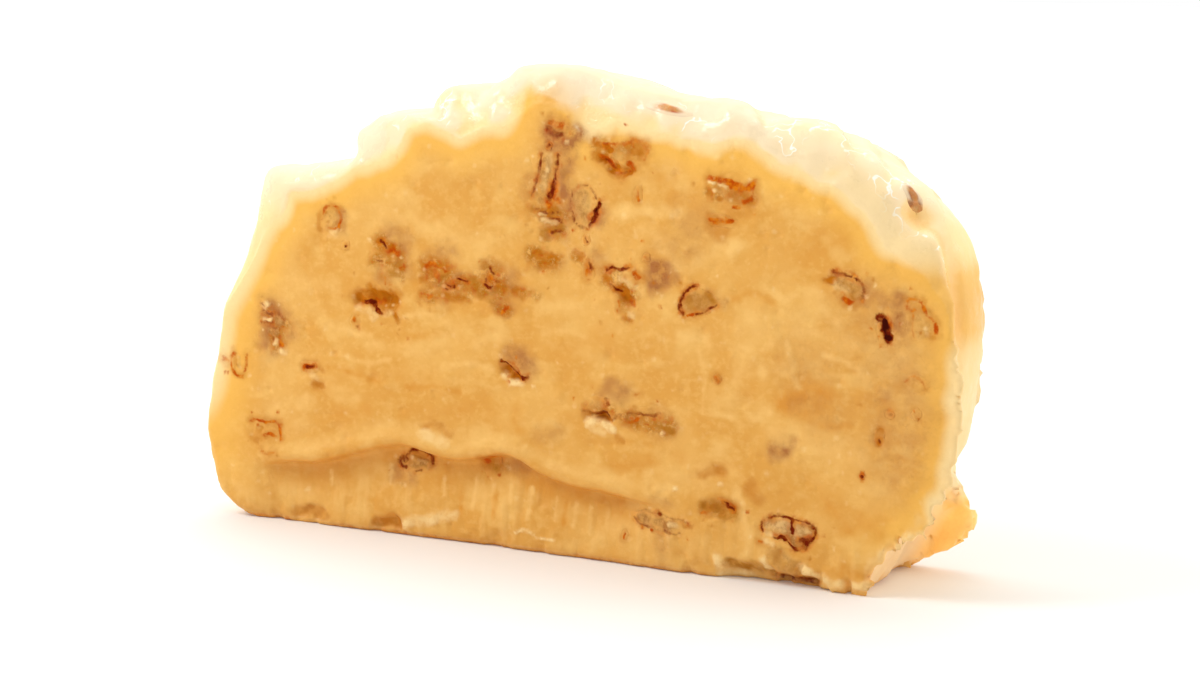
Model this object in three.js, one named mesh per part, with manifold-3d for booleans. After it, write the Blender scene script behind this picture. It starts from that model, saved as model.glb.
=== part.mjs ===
// A thick slice of vanilla fudge with chopped pecans, cut from a hand-made loaf.
// Millimetres, +Z up. X runs along the slice, the shown cut face looks along -Y,
// and the origin is the middle of the flat base.
import * as THREE from "three";
import { mergeVertices } from "three/addons/utils/BufferGeometryUtils.js";
import Module from "manifold-3d";

const wasm = await Module();
wasm.setup();

// Driving dimensions
const THICKNESS = 25;
const FRONT_Y = -THICKNESS / 2;
const BACK_Y = THICKNESS / 2;

// How the outline changes with depth behind the shown cut
const CROWN_DEPTH = 7;
const CROWN_LEAD = CROWN_DEPTH / 3;
const BACK_TAPER = 5;
const TAPER_START_Y = -3;
const HALF_LENGTH = 62;
const SKIRT_REACH = 4.5;
const SKIRT_HEIGHT = 8;
const SKIRT_SPREAD = 5;
const SKIRT_DEPTH = 4;
const SKIRT_FROM_X = HALF_LENGTH / 2;
const SKIRT_FULL_X = HALF_LENGTH * 0.7;

// Folds across the right half of the crown: place along X, depth and half width
const CROWN_FOLDS = [
  { x: 35, depth: 1.1, width: 2.2 },
  { x: 46, depth: 1.3, width: 2.4 },
  { x: 54, depth: 0.9, width: 2.2 },
];
const FOLD_LEAN = -0.25;
const FOLD_LOWEST_Z = 44;
const FOLD_FULL_Z = 55;

// The step pressed across the foot of the shown cut
const LEDGE_DEPTH = 1.3;
const LEDGE_FADE_FROM = 8;
const LEDGE_FADE_TO = 22;
const LEDGE_FADE_SHARE = 0.9;
const LEDGE_OVERSHOOT = 3;

// Resolution
const ROUND_STEPS = 92;
const SECTION_DEPTHS = [0, 1.4, 3.4, 6, 9.5, 15, 21, 23.4, THICKNESS];

// Pecan pieces
const POCKET_GAP = 0.3;
const PECAN_DETAIL = 1;
const PECAN_SEAT = 0.12;
const PECAN_GROOVE = 0.2;
const PECAN_GROOVE_WIDTH = 0.3;
const PECAN_LUMP = 0.09;
const PECAN_LUMP_WAVES = [3, 4];

// Stations round the slice, from the left toe over the top to the right toe:
// x and z on the shown cut, then the shift to the crown a little way behind it
const STATIONS = [
  [-53, 0, 0.5, 0],
  [-56.6, 1.5, 0.5, 0],
  [-60.4, 6.2, 0.5, 0],
  [-62.5, 14, 0.4, 0],
  [-61.2, 24, 0, 0],
  [-59.8, 33, -0.7, 1],
  [-55.6, 39.5, -2.9, 2.5],
  [-51.5, 46.5, -6.5, 2.5],
  [-48.6, 51.2, -5.9, 2.4],
  [-38.5, 54.4, -6.5, 0.8],
  [-31, 57.5, -9, 4],
  [-27.2, 62.2, -6, 2.1],
  [-23, 63.8, -4, 1.2],
  [-17.2, 61.4, -3.3, 6.9],
  [-8.6, 63.2, -5.9, 6.8],
  [-2.2, 67.6, -5.3, 4.4],
  [3.2, 64.6, -2.2, 6.6],
  [18.6, 63.5, -1.6, 4.9],
  [22.7, 62, 0.3, 5.6],
  [27, 63.4, 0, 3.6],
  [32.2, 62, -0.2, 4.2],
  [34.8, 59.6, 1.7, 5.4],
  [40.4, 59.4, 1.6, 4],
  [47.6, 53.4, 1.9, 6.1],
  [54.5, 48.3, 1.2, 6.7],
  [59.2, 46.8, 0.2, 2.7],
  [60.6, 42.5, -0.2, 1],
  [62.3, 32.7, -1.6, 0],
  [62.1, 22, -2.8, -1],
  [60.2, 15, -5.2, -2],
  [58.2, 9.8, -6, -2],
  [54.5, 8, -4.4, -3],
  [51.2, 4.6, -2.6, -2.4],
  [49.5, 1.4, -1.6, -0.7],
  [46, 0, 0.4, 0],
];

// The ledge line across the foot of the shown cut, left to right
const LEDGE_LINE = [
  [-53, 8.6],
  [-44, 10.1],
  [-36, 11.6],
  [-29.4, 13.6],
  [-22, 13.2],
  [-15, 13],
  [-6.6, 14.6],
  [-2, 12.8],
  [10.4, 11.4],
  [22, 9.4],
];

// Pecan pieces open at the shown cut: x, z, width, height, turn in degrees, sink behind the cut
const FRONT_PECANS = [
  [-39.5, 47.6, 4, 4.9, 0, 0],
  [-29.8, 43, 6.2, 5.8, 25, 0.4],
  [-31.7, 34.8, 8.7, 6.4, -20, 1],
  [-21, 39.3, 6, 5, 10, 0.4],
  [-11.9, 40.2, 10, 5, 0, 0.3],
  [-50.4, 30.6, 4.4, 7.6, 8, 0.2],
  [-56.8, 24.1, 4.4, 3.9, 0, 0],
  [-51.5, 13.8, 5.8, 5.6, 0, 0],
  [-8, 27.1, 5.2, 3.6, -30, 0.7],
  [-1.3, 63, 4.1, 4, 0, 0.2],
  [-3.4, 56.5, 3.6, 8, 12, 0.2],
  [-2.6, 49.7, 4.6, 3.6, 15, 0.3],
  [3.8, 52.1, 5, 6.1, 15, 0],
  [9.4, 59.6, 8.7, 5.6, -8, 1],
  [27.3, 55.9, 7.8, 4.7, -8, 0.7],
  [-2.7, 43.9, 4.8, 3.5, 0, 0.3],
  [11.1, 41.6, 6.8, 10.5, -15, 0.5],
  [22.5, 40, 6.3, 4.6, 12, 0],
  [45.5, 43.4, 5.7, 4.8, 0, 0.2],
  [51.1, 38.4, 2.2, 4.2, -12, 0],
  [56.1, 40, 4.4, 6, 0, 0],
  [7.4, 23, 7.2, 3.4, -8, 0.6],
  [15, 22.6, 6, 3, 6, 0.5],
  [-25.6, 11, 5.8, 3.4, 0, 1.4],
  [-12.2, 11.4, 3.8, 2.7, 0, 1.4],
  [16.4, 6.8, 9.6, 3.4, -8, 0.8],
  [26.3, 10, 6.2, 4, 0, 0],
  [37.3, 8, 9.2, 5.4, -5, 0],
];
const FRONT_PECAN_THICKNESS = 5;

// Pecan pieces half sunk in the glossy outside: centre, then size along X, Y and Z
const CROWN_PECANS = [
  { centre: [16, -10, 66.2], size: [6.8, 2.6, 2.4] },
  { centre: [52.5, -8.2, 56.4], size: [4.4, 2.8, 2.8] },
];

// The back cut was not shown; it gets pieces like those of the shown cut, spread by a spiral
const BACK_PECAN_COUNT = 12;
const BACK_SPREAD_X = 47;
const BACK_SPREAD_Z = 23;
const BACK_MIDDLE = [-3, 31];
const BACK_PECAN_WIDTHS = [6.4, 4.6, 8.2, 5.4];
const BACK_PECAN_HEIGHTS = [4.6, 5.6, 4.2, 3.6];
const BACK_PECAN_TURN = 37;
const GOLDEN_ANGLE = Math.PI * (3 - Math.sqrt(5));

// Materials
const fudgeMaterial = new THREE.MeshStandardMaterial({
  color: 0xf0c583,
  roughness: 0.42,
  metalness: 0,
});
const pecanMaterial = new THREE.MeshStandardMaterial({
  color: 0xa86d3c,
  roughness: 0.65,
  metalness: 0,
});

// 0 before `from`, 1 after `to`, with level ends
function ease(value, from, to) {
  return THREE.MathUtils.smoothstep(value, from, to);
}

// A closed geometry with only merged positions, ready for joining and cutting
function toSolid(geometry) {
  geometry.deleteAttribute("normal");
  geometry.deleteAttribute("uv");
  const merged = mergeVertices(geometry);
  return new wasm.Manifold(
    new wasm.Mesh({
      numProp: 3,
      vertProperties: new Float32Array(merged.attributes.position.array),
      triVerts: new Uint32Array(merged.index.array),
    }),
  );
}

function toMesh(solid, name, material) {
  const { vertProperties, triVerts } = solid.getMesh();
  const geometry = new THREE.BufferGeometry();
  geometry.setAttribute("position", new THREE.BufferAttribute(vertProperties, 3));
  geometry.setIndex(new THREE.BufferAttribute(triVerts, 1));
  geometry.computeVertexNormals();
  const mesh = new THREE.Mesh(geometry, material);
  mesh.name = name;
  return mesh;
}

function boxSolid(min, max) {
  const box = new THREE.Box3(new THREE.Vector3(...min), new THREE.Vector3(...max));
  const size = box.getSize(new THREE.Vector3());
  const centre = box.getCenter(new THREE.Vector3());
  const geometry = new THREE.BoxGeometry(size.x, size.y, size.z);
  geometry.translate(centre.x, centre.y, centre.z);
  return toSolid(geometry);
}

// How far a crown fold sinks the surface at this place
function foldSink(x, y, z) {
  let sink = 0;
  for (const fold of CROWN_FOLDS) {
    const offset = x - fold.x - FOLD_LEAN * y;
    sink += fold.depth * Math.exp(-((offset / fold.width) ** 2));
  }
  return sink * ease(z, FOLD_LOWEST_Z, FOLD_FULL_Z);
}

// The slice's outline at one depth behind the shown cut; its ends close along the flat base
function outlineAt(depth) {
  const y = FRONT_Y + depth;
  const crown = ease(depth, -CROWN_LEAD, CROWN_DEPTH);
  const front = ease(0, -CROWN_LEAD, CROWN_DEPTH);
  const shift = (crown - front) / (1 - front);
  const taper = BACK_TAPER * ease(y, TAPER_START_Y, BACK_Y);
  const skirt = SKIRT_REACH * ease(depth, THICKNESS - SKIRT_DEPTH, THICKNESS);
  const guide = STATIONS.map(([x, z, shiftX, shiftZ]) => {
    let stationX = x + shiftX * shift;
    const stationZ = z + shiftZ * shift;
    if (stationX > 0) {
      stationX -= (taper * stationX) / HALF_LENGTH;
      const low = Math.exp(-(((stationZ - SKIRT_HEIGHT) / SKIRT_SPREAD) ** 2));
      stationX += skirt * low * ease(stationX, SKIRT_FROM_X, SKIRT_FULL_X);
    }
    return new THREE.Vector3(stationX, 0, stationZ);
  });
  const curve = new THREE.CatmullRomCurve3(guide, false, "centripetal");
  const points = [];
  for (let i = 0; i <= ROUND_STEPS; i += 1) {
    const point = curve.getPoint(i / ROUND_STEPS);
    const sink = shift * foldSink(point.x, y, point.z);
    points.push(new THREE.Vector3(point.x, y, Math.max(point.z - sink, 0)));
  }
  return points;
}

// Sections joined from the shown cut to the back cut, closed by the two cut faces
function loafSolid() {
  const sections = SECTION_DEPTHS.map(outlineAt);
  const count = sections[0].length;
  const positions = sections.flat().flatMap((point) => point.toArray());
  const index = [];
  for (let row = 0; row < sections.length - 1; row += 1) {
    for (let i = 0; i < count; i += 1) {
      const next = (i + 1) % count;
      const a = row * count + i;
      const b = row * count + next;
      const c = a + count;
      const d = b + count;
      index.push(a, b, c, b, d, c);
    }
  }
  addCut(index, sections[0], 0, true);
  addCut(index, sections.at(-1), (sections.length - 1) * count, false);
  const geometry = new THREE.BufferGeometry();
  geometry.setAttribute("position", new THREE.Float32BufferAttribute(positions, 3));
  geometry.setIndex(index);
  return toSolid(geometry);
}

// One flat cut face over a section, looking along -Y or +Y
function addCut(index, section, offset, looksForward) {
  const contour = section.map((point) => new THREE.Vector2(point.x, point.z));
  for (const [a, b, c] of THREE.ShapeUtils.triangulateShape(contour, [])) {
    const edgeOne = contour[b].clone().sub(contour[a]);
    const edgeTwo = contour[c].clone().sub(contour[a]);
    const facesForward = edgeOne.cross(edgeTwo) > 0;
    const triangle = facesForward === looksForward ? [a, b, c] : [a, c, b];
    index.push(...triangle.map((corner) => corner + offset));
  }
}

// What the ledge takes away: a shallow panel under the ledge line that runs out to the right
function ledgeSolid() {
  const line = new THREE.CatmullRomCurve3(
    LEDGE_LINE.map(([x, z]) => new THREE.Vector3(x, z, 0)),
    false,
    "centripetal",
  );
  const upper = line.getPoints(LEDGE_LINE.length * 2);
  const shape = new THREE.Shape(upper.map((point) => new THREE.Vector2(point.x, point.y)));
  for (const x of [LEDGE_FADE_TO, LEDGE_FADE_FROM, upper[0].x]) {
    shape.lineTo(x, -LEDGE_OVERSHOOT);
  }
  const geometry = new THREE.ExtrudeGeometry(shape, { depth: 1, bevelEnabled: false });
  const position = geometry.attributes.position;
  for (let i = 0; i < position.count; i += 1) {
    const x = position.getX(i);
    const fade = 1 - LEDGE_FADE_SHARE * ease(x, LEDGE_FADE_FROM, LEDGE_FADE_TO);
    const inner = position.getZ(i) === 0;
    const y = inner ? FRONT_Y + LEDGE_DEPTH * fade : FRONT_Y - LEDGE_OVERSHOOT;
    position.setXYZ(i, x, y, position.getY(i));
  }
  return toSolid(geometry);
}

// A chopped pecan: a lumpy chunk with a groove between its lobes, grown all round by `swell`
function pecanSolid({ centre, size, turn, phase, swell }) {
  const geometry = new THREE.IcosahedronGeometry(1, PECAN_DETAIL);
  const position = geometry.attributes.position;
  const point = new THREE.Vector3();
  for (let i = 0; i < position.count; i += 1) {
    point.fromBufferAttribute(position, i);
    const [waveX, waveZ] = PECAN_LUMP_WAVES;
    const lump = Math.sin(waveX * point.x + phase) * Math.sin(waveZ * point.z + 2 * phase);
    const groove = Math.exp(-((point.x / PECAN_GROOVE_WIDTH) ** 2)) * Math.max(point.z, 0);
    const radius = 1 + PECAN_LUMP * lump - PECAN_GROOVE * groove;
    const half = size.map((length) => (length / 2) * radius + swell);
    position.setXYZ(i, point.x * half[0], point.y * half[1], point.z * half[2]);
  }
  geometry.rotateY(-THREE.MathUtils.degToRad(turn));
  geometry.translate(...centre);
  return toSolid(geometry);
}

// Every piece with the plane it was cut at: the pocket is cut from the fudge, the piece fills it
function pecanPlan() {
  const plan = [];
  FRONT_PECANS.forEach(([x, z, width, height, turn, sink], i) => {
    const face = FRONT_Y + sink;
    plan.push({
      name: `pecan_front_${i + 1}`,
      centre: [x, face + PECAN_SEAT * FRONT_PECAN_THICKNESS, z],
      size: [width, FRONT_PECAN_THICKNESS, height],
      turn,
      keepFrom: face,
      keepTo: BACK_Y,
    });
  });
  for (let i = 0; i < BACK_PECAN_COUNT; i += 1) {
    const reach = Math.sqrt((i + 0.5) / BACK_PECAN_COUNT);
    const angle = i * GOLDEN_ANGLE;
    const x = BACK_MIDDLE[0] + BACK_SPREAD_X * reach * Math.cos(angle);
    const z = BACK_MIDDLE[1] + BACK_SPREAD_Z * reach * Math.sin(angle);
    const width = BACK_PECAN_WIDTHS[i % BACK_PECAN_WIDTHS.length];
    const height = BACK_PECAN_HEIGHTS[i % BACK_PECAN_HEIGHTS.length];
    plan.push({
      name: `pecan_back_${i + 1}`,
      centre: [x, BACK_Y - PECAN_SEAT * FRONT_PECAN_THICKNESS, z],
      size: [width, FRONT_PECAN_THICKNESS, height],
      turn: i * BACK_PECAN_TURN,
      keepFrom: FRONT_Y,
      keepTo: BACK_Y,
    });
  }
  CROWN_PECANS.forEach(({ centre, size }, i) => {
    plan.push({
      name: `pecan_crown_${i + 1}`,
      centre,
      size,
      turn: 0,
      keepFrom: FRONT_Y,
      keepTo: BACK_Y,
    });
  });
  return plan;
}

function makeFudge() {
  const group = new THREE.Group();
  let body = loafSolid().subtract(ledgeSolid());
  pecanPlan().forEach((piece, i) => {
    const shape = { ...piece, phase: i };
    const chunk = pecanSolid({ ...shape, swell: 0 });
    const pocket = pecanSolid({ ...shape, swell: POCKET_GAP });
    const reach = 2 * HALF_LENGTH;
    const kept = boxSolid([-reach, piece.keepFrom, 0], [reach, piece.keepTo, reach]);
    body = body.subtract(pocket);
    group.add(toMesh(chunk.intersect(kept), piece.name, pecanMaterial));
  });
  group.add(toMesh(body, "fudge", fudgeMaterial));
  return group;
}

export default makeFudge();
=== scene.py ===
"""Looks of a thick slice of pecan fudge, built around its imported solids. Lengths in the code are millimetres."""

import functools

import bpy
import numpy as np
from bpy.props import FloatProperty, FloatVectorProperty, PointerProperty
from mathutils import Matrix, Vector
from mathutils.bvhtree import BVHTree


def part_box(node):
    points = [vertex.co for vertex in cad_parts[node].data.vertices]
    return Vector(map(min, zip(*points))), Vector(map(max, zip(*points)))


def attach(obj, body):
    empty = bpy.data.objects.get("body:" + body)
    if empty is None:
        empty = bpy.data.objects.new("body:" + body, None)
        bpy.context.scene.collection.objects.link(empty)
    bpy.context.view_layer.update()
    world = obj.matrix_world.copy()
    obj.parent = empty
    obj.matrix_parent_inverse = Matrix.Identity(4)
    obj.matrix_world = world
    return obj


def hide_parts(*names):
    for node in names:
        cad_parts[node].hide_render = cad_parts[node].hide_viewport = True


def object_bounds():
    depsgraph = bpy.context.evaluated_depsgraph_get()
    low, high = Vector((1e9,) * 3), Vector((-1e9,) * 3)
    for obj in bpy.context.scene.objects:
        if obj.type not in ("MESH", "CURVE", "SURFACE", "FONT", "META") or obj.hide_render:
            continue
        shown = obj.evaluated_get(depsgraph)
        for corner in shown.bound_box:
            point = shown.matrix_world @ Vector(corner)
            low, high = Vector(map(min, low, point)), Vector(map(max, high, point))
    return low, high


bl_info = {
    "name": "Pecan Fudge Slice",
    "version": (1, 0, 0),
    "blender": (4, 5, 0),
    "location": "3D View > Sidebar > Fudge",
    "description": "Builds a slice of fudge with chopped pecans over its solid model",
    "category": "Object",
}

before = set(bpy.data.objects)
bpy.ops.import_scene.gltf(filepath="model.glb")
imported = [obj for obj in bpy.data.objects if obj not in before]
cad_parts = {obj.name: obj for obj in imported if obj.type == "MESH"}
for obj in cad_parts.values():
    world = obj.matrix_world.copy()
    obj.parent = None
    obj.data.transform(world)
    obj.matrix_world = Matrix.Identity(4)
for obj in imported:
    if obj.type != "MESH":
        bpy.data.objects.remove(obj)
CAD_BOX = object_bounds()


def node_number(name):
    return int(name.split("_")[-1])


def nodes_of(group):
    return sorted((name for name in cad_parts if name.startswith(group)), key=node_number)


FRONT_NODES = nodes_of("pecan_front_")
BACK_NODES = nodes_of("pecan_back_")
CROWN_NODES = nodes_of("pecan_crown_")

MM = 0.001
FRONT_Y = CAD_BOX[0].y / MM
BACK_Y = CAD_BOX[1].y / MM
THICKNESS = BACK_Y - FRONT_Y
HALF_LENGTH = CAD_BOX[1].x / MM
SEED = 7

# Stations round the slice, from the left toe over the top to the right toe:
# x and z on the shown cut, then x and z on the crown a little way behind it
STATIONS = np.array([
    (-54.8, 0, -54.3, 0), (-57.6, 1.2, -57.1, 1.2), (-59.7, 3.4, -59.2, 3.4), (-61.3, 6.8, -60.8, 6.8), (-63, 14.5, -62.6, 14.5),
    (-61.7, 24, -61.7, 24),
    (-59.8, 33, -60.5, 34), (-55.6, 39.5, -57.6, 41.5), (-52.4, 44.8, -55.8, 46.5), (-51.4, 46.7, -55.2, 48.8),
    (-49, 48.8, -54.6, 50.9), (-48.4, 50.6, -54.2, 53), (-48, 51.7, -52.9, 54.2), (-45, 52.5, -48.3, 54.6),
    (-41.4, 53.3, -45.1, 55.2), (-38.3, 54.5, -40.8, 56.2), (-36, 55.7, -38, 57), (-32.9, 56.8, -37.6, 59.2),
    (-30.7, 57.8, -37.5, 60.8), (-29, 59, -36, 62), (-27.7, 61, -33.6, 63.7), (-27, 62.3, -31, 64.1),
    (-25.5, 63.4, -28, 64.4), (-23.4, 64.1, -25.2, 64.5), (-21.6, 63.8, -24.2, 64.6), (-19.5, 62.7, -24.2, 66),
    (-18.6, 62.1, -22.9, 67.7), (-17.3, 61.5, -20.6, 68.5), (-16, 62.3, -17.6, 68.5), (-14.3, 63, -15.6, 67.6),
    (-12.2, 63.3, -14.2, 68.8), (-9.7, 63.7, -11.6, 70), (-7.6, 65, -9.8, 71.6), (-6, 66.2, -8.2, 72),
    (-3.9, 67.2, -5.4, 72.2), (-1.8, 67, -2.6, 72.2), (0.6, 66, 0.4, 72), (2.3, 64.3, 2.5, 71.7),
    (4.4, 63.6, 5.2, 71), (10.4, 64.1, 9.5, 69.8), (17.8, 62.9, 16.4, 68.8), (20.5, 61.9, 20.5, 68.4),
    (23.7, 61.7, 24.2, 68.4), (26.3, 62.6, 26.5, 68), (29.4, 62.8, 28.6, 67), (32.5, 61.6, 32, 66.4),
    (34.6, 60.3, 35.8, 66), (39.6, 59.2, 40.6, 64.8), (43.8, 57.2, 44.8, 63.2), (48.4, 53.4, 49.4, 60),
    (51.9, 49.8, 53.4, 57), (54.8, 47.6, 56.4, 54), (58, 46.2, 59, 49.8), (60.4, 42.5, 60.3, 43.5),
    (62.3, 32.7, 60.7, 32.7), (62.1, 22, 59.3, 21), (61.7, 17.9, 57.4, 17), (60.2, 14.2, 55.4, 13.4),
    (59.2, 12.2, 54.2, 11.2), (58.8, 9.8, 53, 9.2), (55.3, 9.1, 52, 7.6), (54.5, 7.5, 51, 6.4), (51.5, 6, 50.1, 5),
    (50.5, 4.4, 49.4, 3.6), (50.1, 2, 48.6, 2), (49.4, 0.5, 47.9, 0.6), (46, 0, 46.4, 0),
])

# The ledge line across the foot of the shown cut, left to right
LEDGE_LINE = np.array([
    (-53, 8.6), (-48.3, 9.5), (-43.4, 9.9), (-36.6, 11.6), (-30.5, 13.5), (-26.5, 14), (-22.1, 13.2), (-18.5, 12.7),
    (-14.6, 13.1), (-10.1, 14.3), (-6.8, 13.8), (-3.5, 12.2), (1.4, 11), (8, 10.4), (16, 9.6), (22, 9.2),
])

# Kinds of mark on a cut face: how far each pushes the surface in, and how soft its edge is
MARK_RELIEF = {
    "gold": 0.05, "cream": -0.06, "mauve": 0.0, "crumble": 0.05, "flesh": -0.1, "olive": 0.1, "amber": 0.2,
    "pale": -0.2, "rust": 0.04, "red": 0.1, "well": 1.0,
}
MARK_SOFTNESS = {
    "gold": 1.0, "cream": 1.0, "mauve": 1.0, "crumble": 1.0, "flesh": 0.6, "olive": 0.8, "amber": 0.6,
    "pale": 0.75, "rust": 0.7, "red": 0.6, "well": 0.8,
}
PAINT_KINDS = ("gold", "cream", "mauve", "crumble", "flesh", "olive", "amber", "pale", "rust", "red")
# How far each kind of mark takes the gloss off the cut
MARK_DRYNESS = {
    "mauve": 0.4, "crumble": 0.7, "flesh": 0.7, "olive": 0.7, "amber": 0.6, "rust": 0.9, "red": 1.0,
}
# What bleeds into the fudge round a mark: the kind it turns into, how much broader, how strong
HALOS = {"red": ("rust", 0.22, 0.55), "rust": ("amber", 0.3, 0.5), "amber": ("gold", 0.8, 0.5)}
HALO_GROWTH = 0.35

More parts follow.
